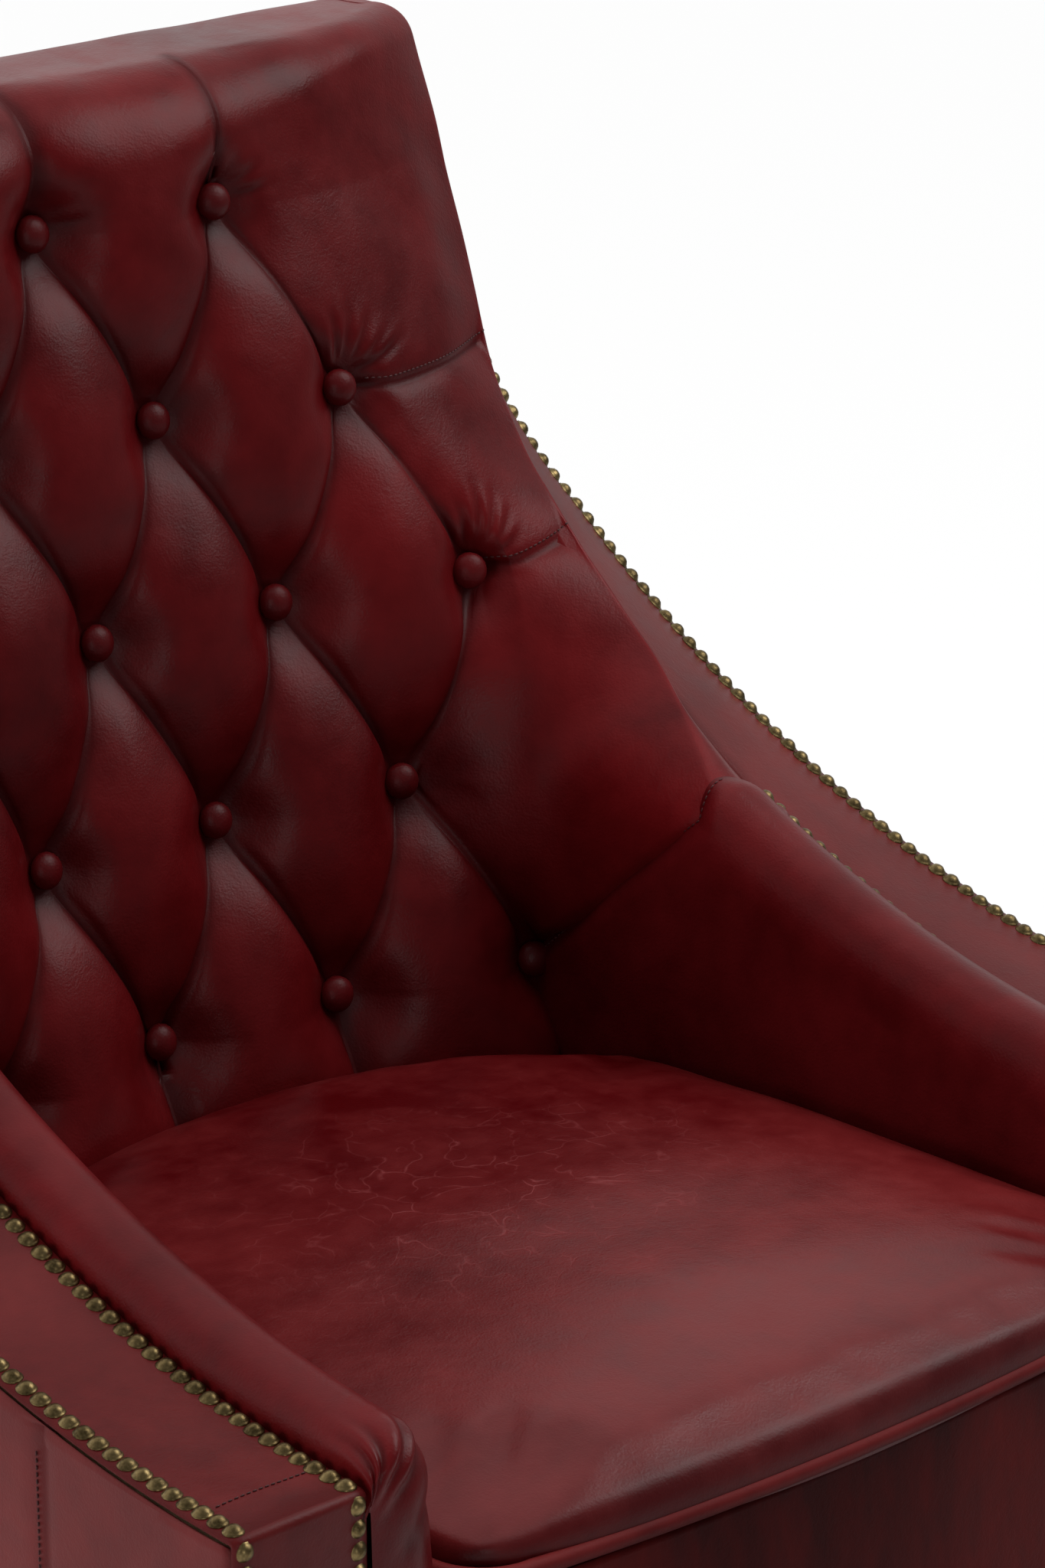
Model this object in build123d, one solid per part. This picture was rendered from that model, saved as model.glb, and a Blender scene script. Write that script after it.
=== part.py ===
"""Lounge chair in buttoned leather: barrel back, swept arms, nailed bands, tapered wooden legs.

Millimetres, +Z up, the sitter faces -Y, origin on the floor under the middle of the chair.
"""
import os
from math import asin, atan2, cos, floor, hypot, radians, sin, sqrt, tan

from build123d import *

# Whole chair
WIDTH = 780.0            # across the arm bands at the front
DEPTH = 740.0            # seat front to back of the top
HEIGHT = 990.0           # floor to top of the back
LEG_HEIGHT = 188.0       # floor to underside of the frame

# Arms and the nailed band that sweeps up them
ARM_HEIGHT = 500.0       # band above the floor at the arm front
ARM_SETBACK = 29.0       # arm front behind the seat front
BAND_WIDTH = 78.0        # band across the arm front
BAND_LEAST = 48.0        # band beside the back
BAND_THICK = 2.0
ROLL_WIDTH = 50.0        # padding between the band and the inner face of the arm
ROLL_RISE = 19.0         # padding above the band
ROLL_BULGE = 4.0         # padding in front of the arm front
ROLL_CORNER = 26.0       # rounding where the padding turns down the arm front
ARM_TAPER = 0.044        # narrowing of the arms toward the back, per mm
BACK_LEAN = 0.17         # narrowing of the back toward the top, per mm
SWOOP_RADIUS = 915.0     # long curve of the arm
NECK_SETBACK = 138.8     # end of the long curve in front of the rear face
NECK_RADIUS = 250.0      # short curve up into the back
BAND_SETBACK = 15.5      # top end of the band in front of the rear face
SIDE_DROP = 55.0         # end of the band below the top of the back
TWIST = 75.0             # turn of the band at its top, degrees
JOIN_RUN = 126.0         # length of the slanting seam between arm and back
JOIN_RISE = 115.0        # rise of that seam

# Buttoned back
BACK_THICK = 129.0       # button plane to the rear face at seat level
BACK_TILT = 12.0         # recline, degrees
BACK_FOOT_DROP = 7.0     # start of the recline below the cord line
BARREL_LOW = 620.0       # plan radius at the seat
BARREL_TOP = 950.0       # plan radius at the top
BUTTON_MARGIN = 20.0     # outermost buttons inside the arm faces
ROW_ABOVE_SEAT = 40.0    # lowest row above the cord line
TOP_MARGIN = 77.0        # highest row below the top of the back
TUFT_RISE = 27.0         # crest of a tuft in front of the buttons
PLEAT_RISE = 10.0        # middle of a pleat in front of the buttons
TOP_ROLL = 45.0          # rounding of the top edge
TOP_ROLL_REAR = 26.0     # rounding of its rear edge
TOP_INSET = 18.0         # ends of the top roll inside the outer panels
TOP_CURL = 0.92          # most of its depth that the front of the roll curls back at the top
BUTTON_SIZE = 21.0
BUTTON_DOME = 5.5
BUTTON_EDGE = 3.0
BUTTON_STEM = 4.0        # stem length
STEM_SIZE = 5.0
BACK_TUCK = 30.0         # foot of the padding above the seat rails

# Seat
SEAT_HEIGHT = 437.0      # cord line at the front
SEAT_CROWN = 36.0        # middle of the seat above its edge
SEAT_SIDE_GAP = 6.0      # between the seat and the arms
SEAT_DRAW = 185.0        # how far the crown is drawn in from the edge
SEAT_BOW = 14.0          # bow of the front edge
SEAT_CORNER = 38.0
SEAT_BACK_GAP = 10.0     # between the seat and the tufts
CORD_SIZE = 10.0
COVER = 2.0              # leather
FIT = 0.3                # clearance between touching pieces

# Wooden frame
RAIL_TOP = 300.0
RAIL_THICK = 30.0
POST_DEEP = 30.0         # arm post, front to back
ARM_RAIL_THICK = 28.0
SIDE_RAIL_THICK = 44.0
BACK_POST_LOW = 45.0     # width of a back post at the floor end
BACK_POST_TOP = 30.0     # width of a back post at its top
BACK_POST_DEEP = 44.0
POST_DROP = 38.0         # top of the back posts below the top of the back
CREST_TALL = 60.0
LOWER_RAIL = 395.0       # underside of the lower back rail
LOWER_RAIL_TALL = 38.0
STRETCHER_DROP = 37.0    # top of an arm stretcher below the arm rail
STRETCHER_THICK = 20.0
BLOCK_LEG = 90.0
BLOCK_TALL = 50.0
PANEL = 3.0              # outer panels
REAR_SLOPE = 0.108       # slope of the rear face
PANEL_DROP = 40.0        # outside back below the top of the back

# Springs, straps and sheets
SPRING_COUNT = 5
SPRING_WIRE = 3.6
SPRING_PITCH = 96.0      # between springs
SPRING_BEND = 12.0       # radius of a bend
SPRING_REACH = 16.0      # straight between bends
CLIP_WIDE = 46.0
CLIP_LONG = 22.0
CLIP_THICK = 1.6
DECK_THICK = 3.0
STRAP_COUNT = 4
STRAP_WIDE = 50.0
STRAP_THICK = 2.5
STRAP_LAP = 9.0          # strap over the front of a post
STRAP_LOW = 470.0        # underside of the lowest strap
STRAP_PITCH = 105.0
DUST_THICK = 1.5

# Legs
LEG_TOP = 52.0
LEG_FOOT = 32.0
LEG_INSET = 25.0         # front of a front leg behind the arm front
REAR_RAKE = 66.0         # foot of a rear leg behind its top
GLIDE_SIZE = 22.0
GLIDE_THICK = 4.0
BOLT_SIZE = 8.0
BOLT_LONG = 92.0
BOLT_IN_LEG = 45.0
BOLT_ROOM = 0.2

# Nails
NAIL_SIZE = 10.6
NAIL_DOME = 3.6
NAIL_PITCH = 11.1
NAIL_MARGIN = 6.0        # nail line inside the edge of the band

# Lines that follow from the sizes above
half = WIDTH / 2
front = -DEPTH / 2
rear = DEPTH / 2 - NAIL_DOME - FIT
arm_front = front + ARM_SETBACK
band_in = half - BAND_WIDTH
arm_in = band_in - ROLL_WIDTH
rail_low = LEG_HEIGHT + DUST_THICK + 2 * FIT
spring_z = RAIL_TOP + SPRING_WIRE / 2 + CLIP_THICK + FIT
deck_z = spring_z + SPRING_WIRE / 2 + FIT
foam_z = deck_z + DECK_THICK + FIT
side_top = HEIGHT - SIDE_DROP
post_top = HEIGHT - POST_DROP
panel_top = HEIGHT - PANEL_DROP
seat_half = arm_in - SEAT_SIDE_GAP
back_bottom = RAIL_TOP + BACK_TUCK
stretcher_low = ARM_HEIGHT - BAND_THICK - ARM_RAIL_THICK - STRETCHER_DROP - LOWER_RAIL_TALL
back_foot = SEAT_HEIGHT - BACK_FOOT_DROP
row_low = SEAT_HEIGHT + ROW_ABOVE_SEAT
row_rise = (HEIGHT - TOP_MARGIN - row_low) / 4
half_pitch = (arm_in - BUTTON_MARGIN) / 4
button_y = rear - (panel_top - back_foot) * REAR_SLOPE - BACK_THICK
neck_y = rear - NECK_SETBACK
a1 = asin((neck_y - arm_front) / SWOOP_RADIUS)
neck_z = ARM_HEIGHT + SWOOP_RADIUS * (1 - cos(a1))
top_run = rear - BAND_SETBACK - neck_y + NECK_RADIUS * sin(a1)
top_climb = side_top - neck_z - NECK_RADIUS * cos(a1)
a2 = atan2(top_climb, top_run) + asin(NECK_RADIUS / hypot(top_run, top_climb))
side_y = neck_y + NECK_RADIUS * (sin(a2) - sin(a1))
side_z = neck_z + NECK_RADIUS * (cos(a1) - cos(a2))


def smooth(t):
    """Ease from 0 to 1."""
    t = min(1.0, max(0.0, t))
    return t * t * (3 - 2 * t)


def mix(a, b, t):
    return a + (b - a) * t


def polygon_loft(sections):
    """Solid through straight-edged sections that all have the same number of corners."""
    wires = [Wire.make_polygon([Vector(*p) for p in s], close=True) for s in sections]
    return Solid.make_loft(wires, ruled=True)


def both_sides(shape):
    """Right-hand piece and its mirror image on the left."""
    return mirror(shape, about=Plane.YZ), shape


# The sweep of the arms: every band, rail, panel and nail line follows it


def sweep_stations(long_steps, short_steps, side_steps):
    """(y, z, slope) along the outer edge of the band, from the arm front to the top."""
    points = []
    for i in range(long_steps + 1):
        a = a1 * i / long_steps
        points.append((arm_front + SWOOP_RADIUS * sin(a), ARM_HEIGHT + SWOOP_RADIUS * (1 - cos(a)), a))
    for i in range(1, short_steps + 1):
        a = mix(a1, a2, i / short_steps)
        points.append((neck_y + NECK_RADIUS * (sin(a) - sin(a1)),
                       neck_z + NECK_RADIUS * (cos(a1) - cos(a)), a))
    for i in range(1, side_steps + 1):
        z = mix(side_z, side_top, i / side_steps)
        points.append((side_y + (z - side_z) / tan(a2), z, a2))
    return points


def outer_x(y, z):
    """Outside face of the arm and of the side of the back."""
    return half - ARM_TAPER * (y - arm_front) - BACK_LEAN * max(0.0, z - neck_z)


def band_turn(z):
    """Turn of the band from facing up toward facing sideways."""
    return radians(TWIST) * min(1.0, max(0.0, (z - ARM_HEIGHT) / (side_top - ARM_HEIGHT)))


def arm_face(y):
    """Inner face of the padded arm."""
    return arm_in - ARM_TAPER * (y - arm_front)


def band_frame(station):
    """Outer edge, inner edge and outward normal of the band at a station."""
    y, z, a = station
    x = outer_x(y, z)
    wide = mix(BAND_WIDTH, BAND_LEAST, smooth((z - neck_z) / (side_top - neck_z)))
    turn = band_turn(z)
    across = Vector(-cos(turn), -sin(a) * sin(turn), cos(a) * sin(turn))
    normal = Vector(sin(turn), -sin(a) * cos(turn), cos(a) * cos(turn))
    outer = Vector(x, y, z)
    return outer, outer + across * wide, normal


fine = [band_frame(s) for s in sweep_stations(60, 30, 12)]
coarse = [band_frame(s) for s in sweep_stations(14, 8, 4)]
inner_edge = [f[1] for f in fine]


def edge_at(z):
    """(x, y) of the inner edge of the band at a height."""
    if z <= inner_edge[0].Z:
        return inner_edge[0].X, inner_edge[0].Y
    for a, b in zip(inner_edge, inner_edge[1:]):
        if a.Z <= z <= b.Z:
            t = (z - a.Z) / (b.Z - a.Z)
            return mix(a.X, b.X, t), mix(a.Y, b.Y, t)
    a, b = inner_edge[-2], inner_edge[-1]
    t = (z - b.Z) / (b.Z - a.Z)
    return b.X + (b.X - a.X) * t, b.Y + (b.Y - a.Y) * t


def edge_along(y):
    """(x, z) of the inner edge of the band along the arm."""
    for a, b in zip(inner_edge, inner_edge[1:]):
        if a.Y <= y <= b.Y:
            t = (y - a.Y) / (b.Y - a.Y)
            return mix(a.X, b.X, t), mix(a.Z, b.Z, t)
    return inner_edge[0].X, inner_edge[0].Z


def rear_y(z):
    """Rear face of the chair."""
    return rear - (panel_top - z) * REAR_SLOPE


def strip(frames, lift_out, lift_in, top, bottom):
    """Solid that follows the band, between two depths under its face."""
    sections = []
    for outer, inner, normal in frames:
        along = (inner - outer).normalized()
        room = lift_in + (top - bottom) * min(1.2, normal.X / max(0.2, -along.X)) if lift_in > FIT else FIT
        o, i = outer + along * lift_out, inner - along * room
        sections.append([tuple(p + normal * d) for p, d in
                         ((o, top), (i, top), (i, bottom), (o, bottom))])
    return polygon_loft(sections)


# Back posts: straight, leaning in and back


def post_front(z):
    return rear_y(z) - PANEL - 2 * FIT - BACK_POST_DEEP


def post_inner(z):
    t = (z - rail_low) / (post_top - rail_low)
    low = outer_x(rear_y(rail_low), rail_low) - PANEL - 2 * FIT - BACK_POST_LOW
    top = outer_x(rear_y(post_top), post_top) - 6 * PANEL - BACK_POST_TOP
    return mix(low, top, t)


def post_outer(z):
    t = (z - rail_low) / (post_top - rail_low)
    return post_inner(z) + mix(BACK_POST_LOW, BACK_POST_TOP, t)


def back_post():
    sections = []
    for z in (rail_low, post_top):
        y0, y1 = post_front(z), rear_y(z) - PANEL - 2 * FIT
        x0, x1 = post_inner(z), post_outer(z)
        sections.append([(x0, y0, z), (x1, y0, z), (x1, y1, z), (x0, y1, z)])
    return polygon_loft(sections)


def cross_rail(low, tall, thick):
    """Rail between the back posts, flush with their front faces."""
    sections = []
    for z in (low, low + tall):
        x, y = post_inner(z) - FIT, post_front(z)
        sections.append([(-x, y, z), (x, y, z), (x, y + thick, z), (-x, y + thick, z)])
    return polygon_loft(sections)


def arm_rail():
    """Curved rail under the band, cut off at the front face of the back post."""
    rail = strip(coarse, PANEL + 4 * FIT, 2 * PANEL, -BAND_THICK - FIT, -BAND_THICK - FIT - ARM_RAIL_THICK)
    low, top = ARM_HEIGHT - 100, HEIGHT + 100
    beyond = polygon_loft([
        [(0, post_front(z) - FIT, z), (WIDTH, post_front(z) - FIT, z), (WIDTH, DEPTH, z), (0, DEPTH, z)]
        for z in (low, top)])
    return (rail - beyond).solids()[0]


def arm_post():
    top = ARM_HEIGHT - BAND_THICK - 2 * FIT - ARM_RAIL_THICK
    x0, x1 = band_in + FIT, half - ARM_TAPER * POST_DEEP - PANEL - 2 * FIT
    return Pos((x0 + x1) / 2, arm_front + POST_DEEP / 2, (rail_low + top) / 2) * Box(
        x1 - x0, POST_DEEP, top - rail_low)


def side_rail():
    """Side of the seat frame, bored from below for the leg bolts."""
    x1 = outer_x(post_front(rail_low), 0) - PANEL - FIT
    y0, y1 = arm_front + POST_DEEP + FIT, post_front(rail_low) - FIT
    rail = Pos(x1 - SIDE_RAIL_THICK / 2, (y0 + y1) / 2, (rail_low + RAIL_TOP) / 2) * Box(
        SIDE_RAIL_THICK, y1 - y0, RAIL_TOP - rail_low)
    for x, y, rake in leg_spots():
        rail -= Pos(x, y, rail_low) * Cylinder(BOLT_SIZE / 2 + BOLT_ROOM, 2 * (BOLT_LONG - BOLT_IN_LEG))
    return rail.solids()[0]


def front_rail():
    return Pos(0, arm_front + RAIL_THICK / 2 + FIT, (rail_low + RAIL_TOP) / 2) * Box(
        2 * band_in, RAIL_THICK, RAIL_TOP - rail_low)


def arm_stretcher():
    """Rail along the foot of the inside arm, from arm post to back post."""
    y0, y1 = arm_front + POST_DEEP + FIT, post_front(stretcher_low) - FIT
    x0 = max(band_in + FIT, post_inner(stretcher_low))
    return Pos(x0 + STRETCHER_THICK / 2, (y0 + y1) / 2, stretcher_low + LOWER_RAIL_TALL / 2) * Box(
        STRETCHER_THICK, y1 - y0, LOWER_RAIL_TALL)


def leg_spots():
    """(x, y, rake) of the front and the rear leg on the right, under the side rail."""
    x = outer_x(post_front(rail_low), 0) - PANEL - FIT - SIDE_RAIL_THICK / 2
    y_front = arm_front + LEG_INSET + LEG_TOP / 2
    y_rear = post_front(rail_low) - LEG_TOP / 2 - 2 * FIT
    return (x, y_front, 0.0), (x, y_rear, REAR_RAKE)


def corner_block(at_rear):
    """Triangular block glued into a corner of the seat frame."""
    x = outer_x(post_front(rail_low), 0) - PANEL - 2 * FIT - SIDE_RAIL_THICK
    y, into = (post_front(rail_low) - FIT, -1) if at_rear else (arm_front + RAIL_THICK + 2 * FIT, 1)
    points = [(x, y), (x - BLOCK_LEG, y), (x, y + into * BLOCK_LEG)]
    face = Face(Wire.make_polygon([Vector(px, py, rail_low) for px, py in points], close=True))
    return extrude(face, BLOCK_TALL, dir=(0, 0, 1))


# Buttoned back


def button_plane(x, z):
    """Depth of the surface that the buttons are drawn down to."""
    up = max(z, back_foot) - back_foot
    radius = mix(BARREL_LOW, BARREL_TOP, up / (HEIGHT - back_foot))
    return button_y + up * tan(radians(BACK_TILT)) - (radius - sqrt(radius * radius - x * x))


def row_buttons(row):
    """Places in a row, in half pitches from the middle."""
    if row == 4:
        return (-2, 0, 2)
    return (-3, -1, 1, 3) if row % 2 else (-4, -2, 0, 2, 4)


NEAR = 0.08              # pleats start this part of a row away from a button


def pleat_places(z):
    """Eight (place, rise) along a level: where pleats cross it and how high they lie."""
    u = (z - row_low) / row_rise
    if u <= 0 or u >= 4:
        rise = PLEAT_RISE * min(1.0, 2 * (-u if u <= 0 else u - 4))
        if u <= 0:
            spots = [s for j in (-4, -2, 0, 2, 4) for s in (j - NEAR, j + NEAR)][1:-1]
            return [(s, rise) for s in spots]
        spots = [-3 - NEAR] + [s for j in (-2, 0, 2) for s in (j - NEAR, j + NEAR)] + [3 + NEAR]
        return [(s, TUFT_RISE * 0.7 if abs(s) > 3 else rise) for s in spots]
    row = min(3, int(floor(u)))
    f = min(1 - NEAR, max(NEAR, u - row))
    rise = PLEAT_RISE * 4 * f * (1 - f)
    if row % 2 == 0:
        spots = [-4 + f, -2 - f, -2 + f, -f, f, 2 - f, 2 + f, 4 - f]
        return [(s, rise) for s in spots]
    spots = [s for j in (-3, -1, 1, 3) for s in (j - f, j + f)]
    if row == 3:
        spots[0], spots[-1] = -3 - NEAR, 3 + NEAR
        return [(s, mix(rise, TUFT_RISE * 0.7, f) if abs(s) > 3 else rise) for s in spots]
    return [(s, rise) for s in spots]


def outermost_hollow(z):
    """Whether a level passes beside the outermost buttons, or below them."""
    reach = 1.01 * NEAR * row_rise
    return z < row_low + reach or abs(z - row_low - 2 * row_rise) < reach


hollow_bulge = TUFT_RISE * NEAR ** 0.8
join_y = button_plane(4 * half_pitch, row_low)
join_tip = join_y - JOIN_RUN


def back_path(z, inset):
    """Corners and bulges of the padded face at a level, from the left edge to the right edge."""
    edge_x, edge_y = edge_at(z)
    edge_y = max(edge_y, join_tip - 5)
    turn = band_turn(z)
    places = pleat_places(z)
    middle = [(j * half_pitch, button_plane(j * half_pitch, z) - rise + inset) for j, rise in places]
    bulges = [TUFT_RISE * min(1.0, (b[0] - a[0]) / 2) ** 0.8 for a, b in zip(places, places[1:])]
    shoulder_x = mix(arm_face(join_y) + 3, arm_in - 10, smooth((z - row_low - row_rise / 2) / row_rise))
    shoulder_x, shoulder_rise, first = max(shoulder_x, middle[-1][0] + 6), 0.6 * TUFT_RISE, 7.0
    if outermost_hollow(z):
        shoulder_x, shoulder_rise, first = (4 + NEAR) * half_pitch, places[-1][1], hollow_bulge
    shoulder = (shoulder_x + inset, button_plane(shoulder_x, z) - shoulder_rise + inset)
    corner_x = edge_x - ROLL_WIDTH * (cos(turn) + 0.25 * sin(turn))
    corner_y = edge_y - 0.4 * ROLL_WIDTH * sin(turn)
    beside = BUTTON_SIZE / 2 if outermost_hollow(z) else 3.0
    corner = (max(corner_x, shoulder_x + beside) + inset, corner_y + inset * sin(turn))
    edge_x -= FIT + (BAND_THICK + FIT) * sin(turn) + 0.4 * inset
    edge = (edge_x, max(edge_y, corner_y + 4) + inset)
    lift = ROLL_RISE * (1 if edge_y > join_tip else 0.1)
    low_side = edge_y < shoulder[1]
    turn_in = 1.0 if low_side else 9.0
    right = [shoulder, corner, edge]
    right_bulges = [first, turn_in, lift]
    points = [(-x, y) for x, y in reversed(right)] + middle + right
    return points, right_bulges[::-1] + bulges + right_bulges


def arc_edges(points, bulges, z):
    """Arcs along a path, each bowed toward the sitter."""
    edges = []
    for (x0, y0), (x1, y1), b in zip(points, points[1:], bulges):
        long = sqrt((x1 - x0) ** 2 + (y1 - y0) ** 2)
        b = min(b, 0.42 * long)
        mid = ((x0 + x1) / 2 + (y1 - y0) / long * b, (y0 + y1) / 2 - (x1 - x0) / long * b)
        edges.append(Edge.make_three_point_arc((x0, y0, z), (mid[0], mid[1], z), (x1, y1, z)))
    return edges


def back_levels():
    """Heights of the sections: close to each row, half way between rows, and round the top."""
    levels = [back_bottom, back_foot]
    for row in range(5):
        z = row_low + row * row_rise
        levels += [z - NEAR * row_rise, z + NEAR * row_rise]
        if row < 4:
            levels.append(z + row_rise / 2)
    return levels + [post_top - 12, post_top + 2 * FIT]


def strap_face(z):
    """Face that the padding of the back lies against."""
    return post_front(z) - STRAP_THICK - 2 * FIT


def top_section(z):
    """Front and rear line of the roll along the top of the back, at a height."""
    points, bulges = back_path(z, 0)
    over = max(0.0, z - (HEIGHT - TOP_ROLL)) / TOP_ROLL
    curl = 1 - sqrt(max(0.0, 1 - over * over))
    trim = TOP_ROLL_REAR * (1 - sqrt(max(0.0, 1 - over ** 4)))
    wide = outer_x(rear, side_top) - TOP_INSET
    x, y = wide - trim, rear_y(z) - FIT - trim
    end_y = mix(points[-2][1], y, 0.45)
    points = [(-wide, end_y)] + points[1:-1] + [(wide, end_y)]
    front_line = [(px * x / wide, py + curl * min(TOP_ROLL, TOP_CURL * (y - py))) for px, py in points]
    rear_line = [(mix(-x, x, i / (len(points) - 1)), y) for i in range(len(points))]
    bulges = [b * (1 - over * over * TOP_CURL) for b in bulges]
    bulges[0] = bulges[-1] = 0.4 * bulges[-1]
    return front_line, bulges, rear_line, [0.1] * len(bulges)


def skin_loft(sections):
    """Solid through levels that each have a face line and a line behind it."""
    wires = []
    for z, points, bulges, under, under_bulges in sections:
        edges = arc_edges(points, bulges, z)
        edges.append(Edge.make_line((*points[-1], z), (*under[-1], z)))
        edges += reversed(arc_edges(under, under_bulges, z))
        edges.append(Edge.make_line((*under[0], z), (*points[0], z)))
        wires.append(Wire(edges))
    return Solid.make_loft(wires, ruled=True)


def back_cover():
    """Leather over the tufts, up to the roll along the top."""
    return skin_loft([(z, *back_path(z, 0), *back_path(z, COVER)) for z in back_levels()])


def top_roll():
    """Padded leather roll over the crest rail."""
    low = back_levels()[-1] + FIT
    start = HEIGHT - TOP_ROLL
    levels = [low] + [start + TOP_ROLL * t for t in (0.5, 0.7, 0.86, 0.96, 1.0)]
    return skin_loft([(z, *top_section(z)) for z in levels])


def back_foam():
    """Padding of the back, against the straps."""
    wires = []
    for z in back_levels()[:-1] + [back_levels()[-1] - FIT]:
        points, bulges = back_path(z, COVER + 2 * FIT)
        x, y = points[-1][0], max(strap_face(z), points[-1][1] + 2)
        edges = arc_edges(points, bulges, z)
        edges.append(Edge.make_line((*points[-1], z), (x, y, z)))
        edges.append(Edge.make_line((x, y, z), (-x, y, z)))
        edges.append(Edge.make_line((-x, y, z), (*points[0], z)))
        wires.append(Wire(edges))
    return Solid.make_loft(wires, ruled=True)


def arm_side_of_join():
    """Region on the arm side of the seam between inside arm and inside back."""
    low = back_bottom - BACK_TUCK
    outline = [(join_y, low), (join_y, row_low), (join_tip, row_low + JOIN_RISE), (join_tip, HEIGHT),
               (-DEPTH, HEIGHT), (-DEPTH, low)]
    x = arm_face(join_y) - FIT
    face = Face(Wire.make_polygon([Vector(x, *p) for p in outline], close=True))
    return extrude(face, WIDTH, dir=(1, 0, 0))


# Inside arms


def arm_section(y, low, inset, draw=0.0):
    """Section of the padded inside arm: flat inner face, rounded roll, straight outer side."""
    edge_x, top = edge_along(max(y, arm_front))
    x0, x1 = arm_face(y) + inset + draw, edge_x - 4 * FIT
    z1 = top - ROLL_RISE - 0.5 * draw
    crest = ((x0 + x1) / 2, top + ROLL_RISE - inset - 0.5 * draw)
    foot = (x1, top - inset - 0.2 * draw)
    in_mid = (x0 + 0.2 * (crest[0] - x0), mix(z1, crest[1], 0.72))
    out_mid = (x1 - 0.22 * (x1 - crest[0]), mix(foot[1], crest[1], 0.66))

    def at(p):
        return Vector(p[0], y, p[1])

    return Wire([
        Edge.make_line(at((x0, low)), at((x0, z1))),
        Edge.make_three_point_arc(at((x0, z1)), at(in_mid), at(crest)),
        Edge.make_three_point_arc(at(crest), at(out_mid), at(foot)),
        Edge.make_line(at(foot), at((x1, low))),
        Edge.make_line(at((x1, low)), at((x0, low))),
    ])


def corner_draw(y, inset):
    """How far the inner face is drawn in near the rounded front of the arm."""
    t = min(1.0, max(0.0, 1 - (y - arm_front + ROLL_BULGE - inset) / ROLL_CORNER))
    return (ROLL_CORNER - inset) * (1 - sqrt(max(0.0, 1 - t * t)))


def arm_pad(inset, low_extra=0.0):
    """Padded arm from its rounded front to the seam with the back."""
    wall = arm_front - FIT
    nose = [arm_section(y, rail_low - low_extra, inset, corner_draw(y, inset)) for y in
            (arm_front - ROLL_BULGE + inset + 0.3, wall)]
    steps = 12
    ys = [wall, wall + 3, wall + 8, wall + 15, wall + 24]
    ys += [mix(wall + 40, join_y - FIT, i / steps) for i in range(steps + 1)]
    run = [arm_section(y, back_bottom - low_extra, inset, corner_draw(y, inset)) for y in ys]
    pad = Solid.make_loft(nose, ruled=True) + Solid.make_loft(run, ruled=True)
    y, z = join_y - FIT, row_low
    slant = [(y + JOIN_RUN, z - JOIN_RISE), (join_tip - FIT, z + JOIN_RISE),
             (join_tip - FIT, HEIGHT), (y + JOIN_RUN, HEIGHT)]
    face = Face(Wire.make_polygon([Vector(0, *p) for p in slant], close=True))
    return (pad - extrude(face, WIDTH, dir=(1, 0, 0))).solids()[0]


def arm_cover():
    """Leather of the inside arm, open toward the frame."""
    skin = arm_pad(0) - arm_pad(COVER, low_extra=20.0)
    return max(skin.solids(), key=lambda piece: piece.volume)


# Seat


def seat_outline(z, inset):
    """Plan of the seat at a height: bowed front, rounded corners, rear that follows the barrel."""
    x = seat_half - inset
    y0 = front + FIT + inset
    corner = max(6.0, SEAT_CORNER - 0.1 * inset)
    y_side = y0 + SEAT_BOW + corner
    rear_mid = button_plane(0, back_foot) - TUFT_RISE - SEAT_BACK_GAP - inset
    rear_end = button_plane(seat_half - 40, back_foot) - TUFT_RISE - SEAT_BACK_GAP - inset
    turn = rear_end - 40
    x_turn = x - ARM_TAPER * (turn - y_side)
    rear_x = x_turn - 30
    k = corner * (1 - sqrt(0.5))

    def at(px, py):
        return Vector(px, py, z)

    return Wire([
        Edge.make_three_point_arc(at(-x + corner, y0 + SEAT_BOW), at(0, y0), at(x - corner, y0 + SEAT_BOW)),
        Edge.make_three_point_arc(at(x - corner, y0 + SEAT_BOW), at(x - k, y0 + SEAT_BOW + k), at(x, y_side)),
        Edge.make_line(at(x, y_side), at(x_turn, turn)),
        Edge.make_line(at(x_turn, turn), at(rear_x, rear_end)),
        Edge.make_three_point_arc(at(rear_x, rear_end), at(0, rear_mid), at(-rear_x, rear_end)),
        Edge.make_line(at(-rear_x, rear_end), at(-x_turn, turn)),
        Edge.make_line(at(-x_turn, turn), at(-x, y_side)),
        Edge.make_three_point_arc(at(-x, y_side), at(-x + k, y0 + SEAT_BOW + k), at(-x + corner, y0 + SEAT_BOW)),
    ])


def seat_pad(low, inset, drop):
    """Seat with upright sides and a crowned top."""
    wires = [seat_outline(low, inset), seat_outline(SEAT_HEIGHT - drop, inset)]
    for i in range(1, 7):
        up, draw = 1 - (1 - i / 6) ** 2.3, SEAT_DRAW * (i / 6) ** 2.15
        wires.append(seat_outline(SEAT_HEIGHT + SEAT_CROWN * up - drop, inset + draw))
    return Solid.make_loft(wires, ruled=True)


def seat_foam():
    return seat_pad(foam_z, CORD_SIZE + FIT, COVER + FIT)


def seat_cover():
    """Leather over the crown of the seat, down to the cord."""
    skin = seat_pad(SEAT_HEIGHT - 1, 0, 0) - seat_pad(SEAT_HEIGHT - 9, COVER, COVER)
    return max(skin.solids(), key=lambda piece: piece.volume)


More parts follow.
